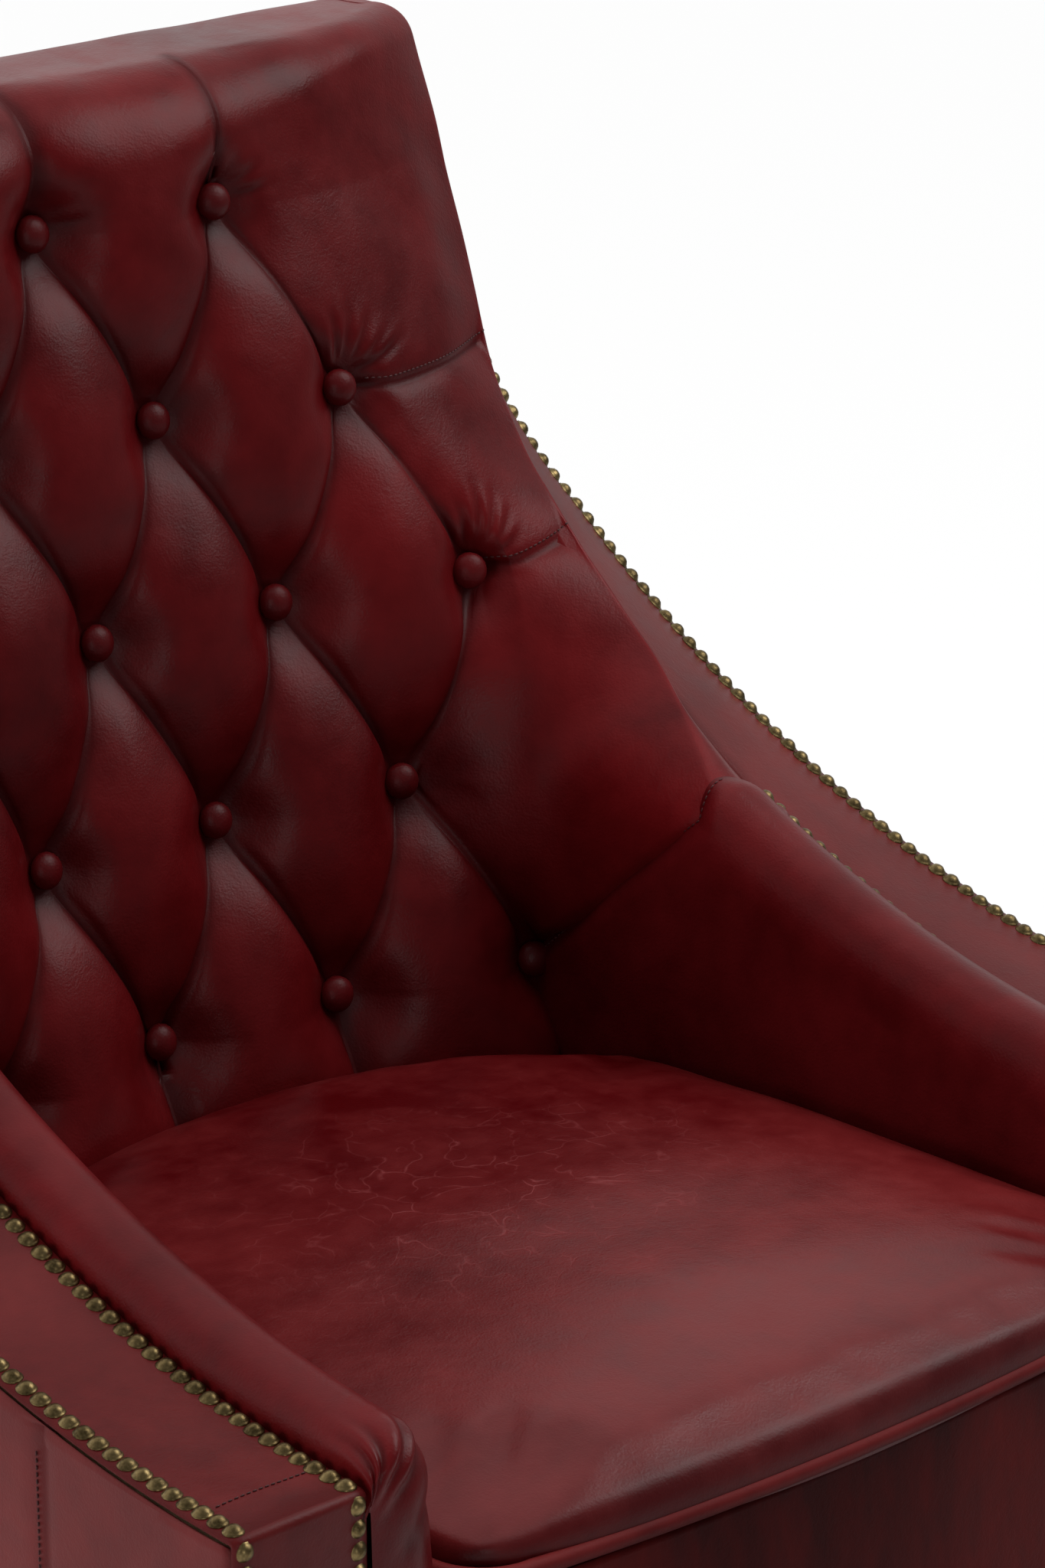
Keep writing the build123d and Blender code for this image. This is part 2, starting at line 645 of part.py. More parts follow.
def seat_cord():
    """Cord sewn round the front and the sides of the seat."""
    r = CORD_SIZE / 2
    y0, x, z = front + FIT + r, seat_half - r, SEAT_HEIGHT - 1 - r
    y1, y2 = y0 + SEAT_BOW, arm_front + 2 * POST_DEEP
    x1 = x + ARM_TAPER * SEAT_CORNER
    x2 = x1 - ARM_TAPER * (y2 - y1)
    path = Wire([
        Edge.make_line((-x2, y2, z), (-x1, y1, z)),
        Edge.make_three_point_arc((-x1, y1, z), (0, y0, z), (x1, y1, z)),
        Edge.make_line((x1, y1, z), (x2, y2, z)),
    ])
    corners = [v for v in path.vertices() if abs(v.Y - y1) < FIT]
    path = path.fillet_2d(SEAT_CORNER - r, corners)
    ring = Plane(origin=path @ 0, z_dir=path % 0) * Circle(r - FIT)
    return sweep(ring, path=path)


# Springs


def seat_spring(x):
    """Zigzag spring from the front rail to the rear rail, lying flat."""
    y = arm_front + RAIL_THICK / 2
    end = post_front(rail_low) + RAIL_THICK / 2
    r, s = SPRING_BEND, SPRING_REACH
    count = int((end - y) / (2 * r))
    step = (end - y) / count / 2
    edges, side = [], 1
    point = (x - s, y)
    for i in range(count + 1):
        nxt = (x + side * s, point[1])
        edges.append(Edge.make_line((*point, spring_z), (*nxt, spring_z)))
        point = nxt
        if i < count:
            nxt = (point[0], point[1] + 2 * step)
            edges.append(Edge.make_three_point_arc(
                (*point, spring_z), (point[0] + side * step, point[1] + step, spring_z), (*nxt, spring_z)))
            point = nxt
        side = -side
    path = Wire(edges)
    ring = Plane(origin=path @ 0, z_dir=path % 0) * Circle(SPRING_WIRE / 2)
    return sweep(ring, path=path)


def spring_clips():
    """Flat plates under the spring ends, on the front and rear rails."""
    plates = []
    z = RAIL_TOP + FIT / 2 + CLIP_THICK / 2
    for i in range(SPRING_COUNT):
        x = (i - (SPRING_COUNT - 1) / 2) * SPRING_PITCH
        for y in (arm_front + RAIL_THICK / 2, post_front(rail_low) + RAIL_THICK / 2):
            plates.append(Pos(x, y, z) * Box(CLIP_WIDE, CLIP_LONG, CLIP_THICK))
    return plates


# Nails


def nail_head():
    """Domed head with a flat underside."""
    r, h = NAIL_SIZE / 2, NAIL_DOME
    bow = (r * r + h * h) / (2 * h)
    mid = (bow * sin(0.5 * asin(r / bow)), bow * cos(0.5 * asin(r / bow)) - bow + h)
    profile = Face(Wire([
        Edge.make_line((0, 0, 0), (r, 0, 0)),
        Edge.make_three_point_arc((r, 0, 0), (mid[0], 0, mid[1]), (0, 0, h)),
        Edge.make_line((0, 0, h), (0, 0, 0)),
    ]))
    return revolve(profile, axis=Axis.Z)


def spaced(line):
    """Points and normals at the nail pitch along a line of (point, normal)."""
    out, carry = [], NAIL_PITCH / 2
    for (p, n), (q, m) in zip(line, line[1:]):
        run = (q - p).length
        while carry <= run:
            t = carry / run
            out.append((p + (q - p) * t, n + (m - n) * t))
            carry += NAIL_PITCH
        carry -= run
    return out


def nail_row(outer_side):
    """Nails of one edge of the band: up the arm front, then along the sweep."""
    line = []
    x = half - NAIL_MARGIN if outer_side else band_in + NAIL_MARGIN
    y = arm_front - BAND_THICK - FIT
    forward = Vector(0, -1, 0)
    rise = ARM_HEIGHT - NAIL_SIZE - rail_low
    count = int(rise / NAIL_PITCH)
    for i in range(count):
        line.append((Vector(x, y, ARM_HEIGHT - NAIL_SIZE / 2 - 1 - i * NAIL_PITCH), forward))
    along = []
    for outer, inner, normal in coarse:
        across = (inner - outer).normalized()
        p = outer + across * NAIL_MARGIN if outer_side else inner - across * NAIL_MARGIN
        along.append((p, normal))
    line += spaced(along)
    head = nail_head()
    return [Plane(origin=p + n.normalized() * FIT, z_dir=n).location * head for p, n in line]


def rear_nails():
    """Nails along the top of the outside back."""
    z = panel_top - NAIL_MARGIN
    x = outer_x(rear_y(z), z) - PANEL - NAIL_MARGIN
    count = int(2 * x / NAIL_PITCH)
    normal = Vector(0, 1, -REAR_SLOPE)
    head = nail_head()
    return [Plane(origin=Vector((i - (count - 1) / 2) * NAIL_PITCH, rear_y(z) + FIT, z), z_dir=normal).location
            * head for i in range(count)]


def covered_button():
    """Leather-covered button: domed top, short rim, stem."""
    r, rim = BUTTON_SIZE / 2, BUTTON_STEM + BUTTON_EDGE
    bow = (r * r + BUTTON_DOME ** 2) / (2 * BUTTON_DOME)
    a = 0.5 * asin(r / bow)
    profile = Face(Wire([
        Edge.make_line((0, 0, 0), (STEM_SIZE / 2, 0, 0)),
        Edge.make_line((STEM_SIZE / 2, 0, 0), (STEM_SIZE / 2, 0, BUTTON_STEM)),
        Edge.make_line((STEM_SIZE / 2, 0, BUTTON_STEM), (r, 0, BUTTON_STEM)),
        Edge.make_line((r, 0, BUTTON_STEM), (r, 0, rim)),
        Edge.make_three_point_arc((r, 0, rim), (bow * sin(a), 0, rim + BUTTON_DOME - bow * (1 - cos(a))),
                                  (0, 0, rim + BUTTON_DOME)),
        Edge.make_line((0, 0, rim + BUTTON_DOME), (0, 0, 0)),
    ]))
    return revolve(profile, axis=Axis.Z)


def button_seat(j, row):
    """Plane on the leather in a hollow, square to the back."""
    x, z = j * half_pitch, row_low + row * row_rise
    slope = (button_plane(x + 1, z) - button_plane(x - 1, z)) / 2
    normal = Vector(slope, -1, tan(radians(BACK_TILT))).normalized()
    rises = [pleat_places(z + side * NEAR * row_rise)[3][1] for side in (-1, 1)]
    lift = sum(rises) / 2 + hollow_bulge + 2 * FIT
    return Plane(origin=Vector(x, button_plane(x, z), z) + normal * lift, z_dir=normal)


def back_buttons():
    """One button in every hollow."""
    button = covered_button()
    return [button_seat(j, row).location * button for row in range(5) for j in row_buttons(row)]


def arm_hollow():
    """Room in the inside arm for the outermost button of the lowest row."""
    return button_seat(4, 0).location * Cylinder(BUTTON_SIZE / 2 + COVER, 6 * BUTTON_SIZE)


# Outer panels


def outside_arm():
    """Outer panel of an arm and the side of the back, under the band."""
    under = BAND_THICK + 4 * FIT
    corners = [(arm_front + FIT, rail_low - 2), (arm_front + FIT, ARM_HEIGHT - under)]
    for y, z, a in sweep_stations(14, 8, 4)[1:]:
        corners.append((y, z - under / max(0.4, cos(a))))
    sections = []
    for y0, z in corners:
        y1 = rear_y(z) - FIT
        x0, x1 = outer_x(y0, z), outer_x(y1, z)
        sections.append([(x0, y0, z), (x1, y1, z), (x1 - PANEL, y1, z), (x0 - PANEL, y0, z)])
    return polygon_loft(sections)


def outside_back():
    sections = []
    for z in (rail_low - 2, neck_z, panel_top):
        y = rear_y(z)
        x = outer_x(y, z) - PANEL - 3 * FIT
        sections.append([(-x, y - PANEL, z), (x, y - PANEL, z), (x, y, z), (-x, y, z)])
    return polygon_loft(sections)


def arm_facing():
    """Leather on the front of the arm post, under the mitre of the band."""
    low, top = rail_low - 2, ARM_HEIGHT - BAND_THICK - FIT
    y1 = arm_front - FIT
    return Pos((band_in + half) / 2 + FIT / 2, y1 - BAND_THICK / 2, (low + top) / 2) * Box(
        BAND_WIDTH - FIT, BAND_THICK, top - low)


def border_block(inset, low, top, back):
    """Bowed block in front of the front rail."""
    y0 = front + CORD_SIZE / 2 + FIT + 1 + inset
    x = arm_in - FIT - inset

    def at(px, py):
        return Vector(px, py, low)

    face = Face(Wire([
        Edge.make_three_point_arc(at(-x, y0 + SEAT_BOW), at(0, y0), at(x, y0 + SEAT_BOW)),
        Edge.make_line(at(x, y0 + SEAT_BOW), at(x, back)),
        Edge.make_line(at(x, back), at(-x, back)),
        Edge.make_line(at(-x, back), at(-x, y0 + SEAT_BOW)),
    ]))
    return extrude(face, top - low, dir=(0, 0, 1))


def front_border():
    """Leather under the seat cord, from arm roll to arm roll and down to the frame."""
    low, top = rail_low - 2, SEAT_HEIGHT - 1 - CORD_SIZE - FIT
    skin = border_block(0, low, top, arm_front - FIT) - border_block(COVER, low - 5, top + 5, arm_front + 5)
    return skin.solids()[0]


def front_wadding():
    return border_block(COVER + FIT, rail_low, RAIL_TOP, arm_front)


def dust_cover():
    """Cloth under the frame, holed for the leg bolts."""
    z = LEG_HEIGHT + FIT
    x0 = outer_x(arm_front, 0) - 5 * PANEL
    y1 = rear_y(rail_low) - 5 * PANEL
    x1 = outer_x(y1, 0) - 5 * PANEL
    points = [(-x0, arm_front + PANEL), (x0, arm_front + PANEL), (x1, y1), (-x1, y1)]
    face = Face(Wire.make_polygon([Vector(x, y, z) for x, y in points], close=True))
    sheet = extrude(face, DUST_THICK, dir=(0, 0, 1))
    for x, y, rake in leg_spots():
        for side in (-1, 1):
            sheet -= Pos(side * x, y, z) * Cylinder(BOLT_SIZE / 2 + BOLT_ROOM, 4 * DUST_THICK)
    return sheet.solids()[0]


def spring_deck():
    y0, y1 = arm_front + PANEL, post_front(rail_low) + RAIL_THICK
    wide = 2 * (arm_in - 2 * PANEL)
    return Pos(0, (y0 + y1) / 2, deck_z + DECK_THICK / 2) * Box(wide, y1 - y0, DECK_THICK)


def back_straps():
    """Straps across the back, laid over the front faces of the posts."""
    out = []
    for i in range(STRAP_COUNT):
        low = STRAP_LOW + i * STRAP_PITCH
        sections = []
        for z in (low, low + STRAP_WIDE):
            x, y = post_inner(z) + STRAP_LAP, post_front(z) - FIT
            sections.append([(-x, y - STRAP_THICK, z), (x, y - STRAP_THICK, z), (x, y, z), (-x, y, z)])
        out.append(polygon_loft(sections))
    return out


def leg(x, y, rake):
    """Square tapered leg, its foot behind its top by the rake."""
    sections = []
    for z, size, back in ((GLIDE_THICK, LEG_FOOT, rake), (LEG_HEIGHT - 30, LEG_TOP, rake * 0.12),
                          (LEG_HEIGHT, LEG_TOP, 0.0)):
        s, cy = size / 2, y + back
        sections.append([(x - s, cy - s, z), (x + s, cy - s, z), (x + s, cy + s, z), (x - s, cy + s, z)])
    hole = Pos(x, y, LEG_HEIGHT - BOLT_IN_LEG / 2) * Cylinder(BOLT_SIZE / 2 + BOLT_ROOM, BOLT_IN_LEG)
    return (polygon_loft(sections) - hole).solids()[0]


os.makedirs("parts", exist_ok=True)


def keep(name, shape):
    """Write one node."""
    if isinstance(shape, (list, tuple)):
        shape = Compound(children=[s for s in shape])
    shape.label = name
    export_step(shape, f"parts/{name}.step")


def keep_pair(name, shape):
    left, right = both_sides(shape)
    keep(f"{name}_left", left)
    keep(f"{name}_right", right)


# Frame
keep("front_rail", front_rail())
keep("rear_rail", cross_rail(rail_low, RAIL_TOP - rail_low, RAIL_THICK))
keep_pair("side_rail", side_rail())
keep_pair("arm_post", arm_post())
keep_pair("back_post", back_post())
keep("crest_rail", cross_rail(post_top - CREST_TALL, CREST_TALL, BACK_POST_DEEP - FIT))
keep("lower_back_rail", cross_rail(LOWER_RAIL, LOWER_RAIL_TALL, RAIL_THICK))
keep_pair("arm_rail", arm_rail())
keep_pair("arm_stretcher", arm_stretcher())
blocks = [both_sides(corner_block(at_rear)) for at_rear in (False, True)]
keep("corner_blocks", [piece for pair in blocks for piece in pair])

# Springs, straps and sheets
springs = [seat_spring((i - (SPRING_COUNT - 1) / 2) * SPRING_PITCH) for i in range(SPRING_COUNT)]
keep("seat_springs", springs)
keep("spring_clips", spring_clips())
keep("spring_deck", spring_deck())
keep("back_straps", back_straps())
keep("dust_cover", dust_cover())

# Padding and leather
keep("seat_foam", seat_foam())
keep("seat_cover", seat_cover())
keep("seat_cord", seat_cord())
keep("front_wadding", front_wadding())
keep("front_border", front_border())
hollow = arm_hollow()
keep_pair("arm_foam", (arm_pad(COVER + FIT) - hollow).solids()[0])
keep_pair("arm_cover", (arm_cover() - hollow).solids()[0])
cut_right = arm_side_of_join()
cut_left = mirror(cut_right, about=Plane.YZ)
keep("back_foam", max((back_foam() - cut_right - cut_left).solids(), key=lambda piece: piece.volume))
keep("back_cover", max((back_cover() - cut_right - cut_left).solids(), key=lambda piece: piece.volume))
keep("top_roll", top_roll())
keep("back_buttons", back_buttons())
keep_pair("arm_band", strip(coarse, 0, FIT, 0, -BAND_THICK))
keep_pair("arm_facing", arm_facing())
keep_pair("outside_arm", outside_arm())
keep("outside_back", outside_back())

# Nails
for row_name, outer_side in (("inner_nails", False), ("outer_nails", True)):
    right_row = nail_row(outer_side)
    keep(f"{row_name}_right", right_row)
    keep(f"{row_name}_left", [mirror(head, about=Plane.YZ) for head in right_row])
keep("rear_nails", rear_nails())

# Legs
for leg_name, (x, y, rake) in zip(("front_leg", "rear_leg"), leg_spots()):
    keep_pair(leg_name, leg(x, y, rake))
bolts, glides = [], []
for x, y, rake in leg_spots():
    for side in (-1, 1):
        z = LEG_HEIGHT - BOLT_IN_LEG + BOLT_LONG / 2
        bolts.append(Pos(side * x, y, z) * Cylinder(BOLT_SIZE / 2, BOLT_LONG))
        glides.append(Pos(side * x, y + rake, (GLIDE_THICK - FIT) / 2) * Cylinder(GLIDE_SIZE / 2, GLIDE_THICK - FIT))
keep("leg_bolts", bolts)
keep("leg_glides", glides)
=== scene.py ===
from math import asin, atan2, cos, hypot, pi, radians, sin, tan

import bpy
import numpy as np
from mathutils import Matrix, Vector


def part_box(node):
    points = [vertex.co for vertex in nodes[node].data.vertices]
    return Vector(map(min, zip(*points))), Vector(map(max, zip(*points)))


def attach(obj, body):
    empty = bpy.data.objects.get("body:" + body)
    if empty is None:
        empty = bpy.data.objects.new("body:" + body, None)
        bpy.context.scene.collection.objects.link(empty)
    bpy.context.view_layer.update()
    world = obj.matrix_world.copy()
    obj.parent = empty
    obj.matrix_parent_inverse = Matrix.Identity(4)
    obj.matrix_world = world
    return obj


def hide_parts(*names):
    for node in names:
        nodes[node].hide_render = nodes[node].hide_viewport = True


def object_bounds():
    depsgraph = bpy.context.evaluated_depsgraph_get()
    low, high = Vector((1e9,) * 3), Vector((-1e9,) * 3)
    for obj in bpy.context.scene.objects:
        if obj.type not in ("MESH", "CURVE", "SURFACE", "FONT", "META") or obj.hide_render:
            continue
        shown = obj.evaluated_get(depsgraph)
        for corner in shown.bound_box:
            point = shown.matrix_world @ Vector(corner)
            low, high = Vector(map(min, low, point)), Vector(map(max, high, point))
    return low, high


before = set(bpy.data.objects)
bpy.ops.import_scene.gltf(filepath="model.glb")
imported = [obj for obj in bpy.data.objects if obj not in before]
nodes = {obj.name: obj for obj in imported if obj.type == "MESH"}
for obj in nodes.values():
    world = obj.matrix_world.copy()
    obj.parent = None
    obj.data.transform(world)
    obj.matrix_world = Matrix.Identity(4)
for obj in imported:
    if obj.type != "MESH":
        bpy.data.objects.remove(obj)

cad_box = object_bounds()

# Legs
# Four square tapered legs of stained hardwood, bolted up into the seat frame from below.
# They keep their solid form and get a dark satin stain with straight grain.


class Tone:
    """A socket in a finish; sums and products of tones add Math nodes."""

    def __init__(self, tree, socket=None):
        self.tree, self.socket = tree, socket

    def node(self, kind, settings=None, sockets=None, out=0):
        """Any node: its settings first, then the values or links of its sockets."""
        made = self.tree.nodes.new(kind)
        for key, value in (settings or {}).items():
            setattr(made, key, value)
        for key, value in (sockets or {}).items():
            if isinstance(value, Tone):
                self.tree.links.new(value.socket, made.inputs[key])
            else:
                made.inputs[key].default_value = value
        return Tone(self.tree, made.outputs[out])

    def place(self):
        """Coordinates of the piece itself."""
        return self.node("ShaderNodeTexCoord", out=3)

    def noise(self, place, scale, detail, out=0, **more):
        sockets = {"Vector": place, "Scale": scale, "Detail": detail, **more}
        return self.node("ShaderNodeTexNoise", sockets=sockets, out=out)

    def painted(self, name):
        """Values of a mesh attribute."""
        return self.node("ShaderNodeAttribute", {"attribute_name": name}, out=2)

    def sum(self, operation, first, second):
        return self.node("ShaderNodeMath", {"operation": operation}, {0: first, 1: second})

    def __add__(self, other):
        return self.sum("ADD", self, other)

    def __radd__(self, other):
        return self.sum("ADD", other, self)

    def __sub__(self, other):
        return self.sum("SUBTRACT", self, other)

    def __rsub__(self, other):
        return self.sum("SUBTRACT", other, self)

    def __mul__(self, other):
        return self.sum("MULTIPLY", self, other)

    def __rmul__(self, other):
        return self.sum("MULTIPLY", other, self)

    def mixed(self, low, high):
        """Colour between two colours, by this tone."""
        settings = {"data_type": "RGBA", "clamp_factor": True}
        return self.node("ShaderNodeMix", settings, {0: self, 6: low, 7: high}, 2)

    def stretched(self, low, high, first=0.0, last=1.0):
        """This tone between two levels, spread over a new range."""
        return self.node("ShaderNodeMapRange", {"clamp": True}, {0: self, 1: low, 2: high, 3: first, 4: last})

    def feed(self, shader, name):
        self.tree.links.new(self.socket, shader.inputs[name])

    def bump(self, shader, strength, distance):
        """Relief of a shader's surface, by this tone."""
        sockets = {"Strength": strength, "Distance": distance, "Height": self}
        self.node("ShaderNodeBump", sockets=sockets).feed(shader, "Normal")


def new_finish(name):
    """A material, its tree and its shader."""
    material = bpy.data.materials.new(name)
    material.use_nodes = True
    tree = material.node_tree
    return material, Tone(tree), tree.nodes["Principled BSDF"]


def colour(red, green, blue):
    return red, green, blue, 1.0


def wood_finish(name, dark, light, along, rough, coat):
    """Wood with its grain along one axis: long streaks, pores and a little bump."""
    material, tone, shader = new_finish(name)
    drawn = tone.node("ShaderNodeMapping", sockets={0: tone.place(), 3: along})
    streak = tone.noise(drawn, 60.0, 5.0, Distortion=0.6)
    pores = tone.noise(drawn, 420.0, 3.0)
    grain = streak * 0.75 + pores * 0.25
    grain.stretched(0.35, 0.68).mixed(dark, light).feed(shader, "Base Color")
    (rough + pores * 0.16).feed(shader, "Roughness")
    shader.inputs["Coat Weight"].default_value = coat
    shader.inputs["Coat Roughness"].default_value = 0.3
    grain.bump(shader, 0.35, 0.0004)
    return material


def finish_nodes(material, *names):
    """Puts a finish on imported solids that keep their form."""
    for name in names:
        mesh = nodes[name].data
        mesh.materials.clear()
        mesh.materials.append(material)


both = ("left", "right")
leg_stain = wood_finish("leg_stain", colour(0.016, 0.007, 0.004), colour(0.075, 0.032, 0.016),
                        (1.0, 1.0, 0.07), 0.26, 0.35)
finish_nodes(leg_stain, *(f"{end}_leg_{side}" for end in ("front", "rear") for side in both))

# Glides
# Turned plastic discs nailed under the feet. Matt black with a fine moulded speckle.
glide_black, tone, shader = new_finish("glide_black")
speckle = tone.noise(tone.place(), 900.0, 2.0)
speckle.mixed(colour(0.012, 0.012, 0.012), colour(0.035, 0.035, 0.034)).feed(shader, "Base Color")
(0.5 + speckle * 0.2).feed(shader, "Roughness")
finish_nodes(glide_black, "leg_glides")

# Frame
# Sawn beech rails, posts and blocks, glued and dowelled. All of it is inside the upholstery.
beech = wood_finish("raw_beech", colour(0.36, 0.21, 0.11), colour(0.62, 0.42, 0.25), (1.0, 0.07, 1.0), 0.55, 0.0)
finish_nodes(beech, "front_rail", "rear_rail", "crest_rail", "lower_back_rail", "corner_blocks",
             *(f"{piece}_{side}" for piece in ("side_rail", "arm_post", "back_post", "arm_rail", "arm_stretcher")
               for side in both))

# Springs and bolts
# Zigzag spring wire on flat plates, and the leg bolts. Oiled steel with dull streaks.
spring_steel, tone, shader = new_finish("spring_steel")
streak = tone.noise(tone.place(), 140.0, 4.0)
streak.mixed(colour(0.16, 0.16, 0.17), colour(0.42, 0.42, 0.43)).feed(shader, "Base Color")
(0.28 + streak * 0.3).feed(shader, "Roughness")
shader.inputs["Metallic"].default_value = 1.0
finish_nodes(spring_steel, "seat_springs", "spring_clips", "leg_bolts")

# Straps and cloths
# Jute straps across the back, a cloth over the springs and a black dust cloth under the seat.
# Plain weave, shown by two crossed waves.


def woven_finish(name, dark, light, threads):
    material, tone, shader = new_finish(name)
    sockets = {"Vector": tone.place(), "Scale": threads}
    warp, weft = (tone.node("ShaderNodeTexWave", {"bands_direction": way}, sockets) for way in "XY")
    cloth = warp * 0.5 + weft * 0.5
    cloth.mixed(dark, light).feed(shader, "Base Color")
    shader.inputs["Roughness"].default_value = 0.9
    cloth.bump(shader, 0.4, 0.0005)
    return material


finish_nodes(woven_finish("jute", colour(0.20, 0.14, 0.07), colour(0.42, 0.32, 0.18), 180.0),
             "spring_deck", "back_straps")
finish_nodes(woven_finish("dust_cloth", colour(0.006, 0.006, 0.006), colour(0.03, 0.03, 0.03), 260.0), "dust_cover")

# Seat
# A foam pad under one piece of leather, crowned, pressed against the arms and drawn down to the
# cord at its front. The leather is rubbed and creased in the middle where people sit.
seat_low, seat_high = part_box("seat_cover")
seat_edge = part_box("seat_cord")[1].z + 0.001
seat_half = seat_high.x
seat_front, seat_rear = seat_low.y, seat_high.y
seat_crown = seat_high.z - seat_edge
seat_bow = 0.014
seat_corner = 0.038
seat_setback = 0.0055
arm_taper = 0.044
seat_count = 104


def leather_finish(name, deep, paler, rough, marks=0.0, drawn=(1.0, 1.0, 1.0), gloss=0.16):
    """Aged leather: cloudy dye, painted shade in hollows, painted highlights and sheen, fine grain and, on a seat,
    crease marks.
    """
    material, tone, shader = new_finish(name)
    place = tone.place()
    pulled = tone.node("ShaderNodeMapping", sockets={0: place, 3: drawn})
    hollow, rubbed = tone.painted("hollow"), tone.painted("rubbed")
    cloud = tone.noise(pulled, 9.0, 4.0, Distortion=0.4)
    patch = tone.noise(pulled, 46.0, 5.0, Roughness=0.6)
    # Colour: random clouds of dye, plus painted light and painted shade from two mesh attributes.
    dye_and_painted_light = cloud.stretched(0.3, 0.72) * 0.65 + patch.stretched(0.3, 0.7) * 0.35 + rubbed * 0.45 - hollow * 0.8
    shade = dye_and_painted_light.mixed(deep, paler)
    cells = tone.node("ShaderNodeTexVoronoi", {"feature": "SMOOTH_F1"},
                      {"Vector": place, "Scale": 820.0, "Randomness": 1.0})
    pores = tone.noise(place, 1500.0, 2.0)
    folds = tone.noise(place, 120.0, 6.0, Distortion=1.2)
    height = cells * 0.5 + pores * 0.2 + folds * 0.9
    roughness = rough + (patch - 0.5) * 0.22 + hollow * 0.16
    if marks:
        warped = tone.noise(place, 14.0, 3.0, out=1)
        bent = tone.node("ShaderNodeVectorMath", {"operation": "MULTIPLY_ADD"},
                         {0: warped, 1: (0.12, 0.12, 0.12), 2: place})
        crease = tone.node("ShaderNodeTexVoronoi", {"feature": "DISTANCE_TO_EDGE"}, {"Vector": bent, "Scale": 34.0})
        line = (1 - crease.stretched(0.0, 0.030)) * tone.painted("sat_on") * patch.stretched(0.40, 0.66) * marks
        shade = line.mixed(shade, colour(0.24, 0.050, 0.052))
        height = height - line * 1.6
        roughness = roughness + line * 0.15
    shade.feed(shader, "Base Color")
    roughness.feed(shader, "Roughness")
    shader.inputs["Specular IOR Level"].default_value = gloss
    height.bump(shader, 0.30, 0.0006)
    return material


def grid_faces(rows, columns, flip=False):
    """Quads of a grid of points stored row by row."""
    at = np.arange(rows * columns).reshape(rows, columns)
    quads = np.stack([at[:-1, :-1], at[:-1, 1:], at[1:, 1:], at[1:, :-1]], axis=-1).reshape(-1, 4)
    return quads[:, ::-1] if flip else quads


def new_piece(name, points, faces, material, **attributes):
    """A smooth mesh at the origin, with an attribute for each named set of values."""
    mesh = bpy.data.meshes.new(name)
    mesh.from_pydata(np.asarray(points, float).reshape(-1, 3).tolist(), [], [list(map(int, face)) for face in faces])
    mesh.polygons.foreach_set("use_smooth", [True] * len(mesh.polygons))
    for key, values in attributes.items():
        mesh.attributes.new(key, "FLOAT", "POINT").data.foreach_set("value", np.asarray(values, float).ravel())
    mesh.materials.append(material)
    mesh.update()
    piece = bpy.data.objects.new(name, mesh)
    bpy.context.scene.collection.objects.link(piece)
    return piece


def eased(t):
    t = np.clip(t, 0.0, 1.0)
    return t * t * (3 - 2 * t)


def ripple(seed, points, waves, length, height):
    """Gentle unevenness: a few waves in fixed random directions."""
    rng = np.random.default_rng(seed)
    total = np.zeros(points.shape[:-1])
    for _ in range(waves):
        way = rng.normal(size=3)
        way *= 2 * pi / (np.linalg.norm(way) * length * rng.uniform(0.7, 1.6))
        total += np.sin(points @ way + rng.uniform(0, 2 * pi))
    return total * height / np.sqrt(waves)


def seat_side(t):
    """Right-hand edge of the seat in plan, from the middle of the front corner to the rear."""
    turn = seat_rear - 0.085
    start = np.array([seat_half - seat_corner * (1 - np.sqrt(0.5)),
                      seat_front + seat_bow + seat_corner * (1 - np.sqrt(0.5))])
    y = start[1] + (turn - start[1]) * t
    corner = np.clip((y - seat_front - seat_bow) / seat_corner, 0, 1)
    x = seat_half - seat_corner * (1 - np.sqrt(1 - (1 - corner) ** 2))
    x = x - arm_taper * np.clip(y - seat_front - seat_bow - seat_corner, 0, None)
    return np.stack([x - seat_setback * (1 - eased(t / 0.25)), y + seat_setback * (1 - eased(t / 0.25))], axis=-1)


t = np.linspace(0, 1, seat_count)
side = seat_side(t)
across = np.linspace(-1, 1, seat_count)
front_x, rear_x = side[0, 0], side[-1, 0]
flat = seat_half - seat_corner
front_y = seat_front + seat_bow * np.clip(np.abs(across * front_x) / flat, 0, 1) ** 2
tail = np.clip((np.abs(across * front_x) - flat) / seat_corner, 0, 0.999)
front_y = front_y + seat_corner * (1 - np.sqrt(1 - tail ** 2))
front_y = front_y + (side[0, 1] - front_y[-1]) * np.abs(across) ** 8
rear_y = seat_rear - (seat_rear - side[-1, 1]) * np.abs(across) ** 2.2
edge_front = np.stack([across * front_x, front_y + seat_setback], axis=-1)
edge_rear = np.stack([across * rear_x, rear_y], axis=-1)
edge_right, edge_left = side, side * (-1, 1)
u, v = (across + 1)[None, :, None] / 2, t[:, None, None]
plan = (1 - v) * edge_front[None] + v * edge_rear[None] + (1 - u) * edge_left[:, None] + u * edge_right[:, None]
plan = plan - ((1 - u) * (1 - v) * edge_front[0] + u * (1 - v) * edge_front[-1]
               + (1 - u) * v * edge_rear[0] + u * v * edge_rear[-1])
in_u, in_v = (4 * u * (1 - u))[..., 0], (4 * v * (1 - v))[..., 0]
rise = in_u ** 0.30 * np.where(v[..., 0] < 0.5, in_v ** 0.22, in_v ** 0.28)
top = np.concatenate([plan, (seat_edge + seat_crown * rise)[..., None]], axis=-1)
press = np.exp(-((1 - np.abs(across)) / 0.05) ** 2)[None, :] * eased(v[..., 0] / 0.12)
top[..., 0] += np.sign(across)[None, :] * 0.004 * press * (rise > 0)
top[..., 2] += ripple(3, top, 7, 0.16, 0.0011) * rise
sat_y, sat_wide, sat_deep = -0.09, 0.13, 0.10
sat_on = np.exp(-((top[..., 0] / sat_wide) ** 2 + ((top[..., 1] - sat_y) / sat_deep) ** 2))
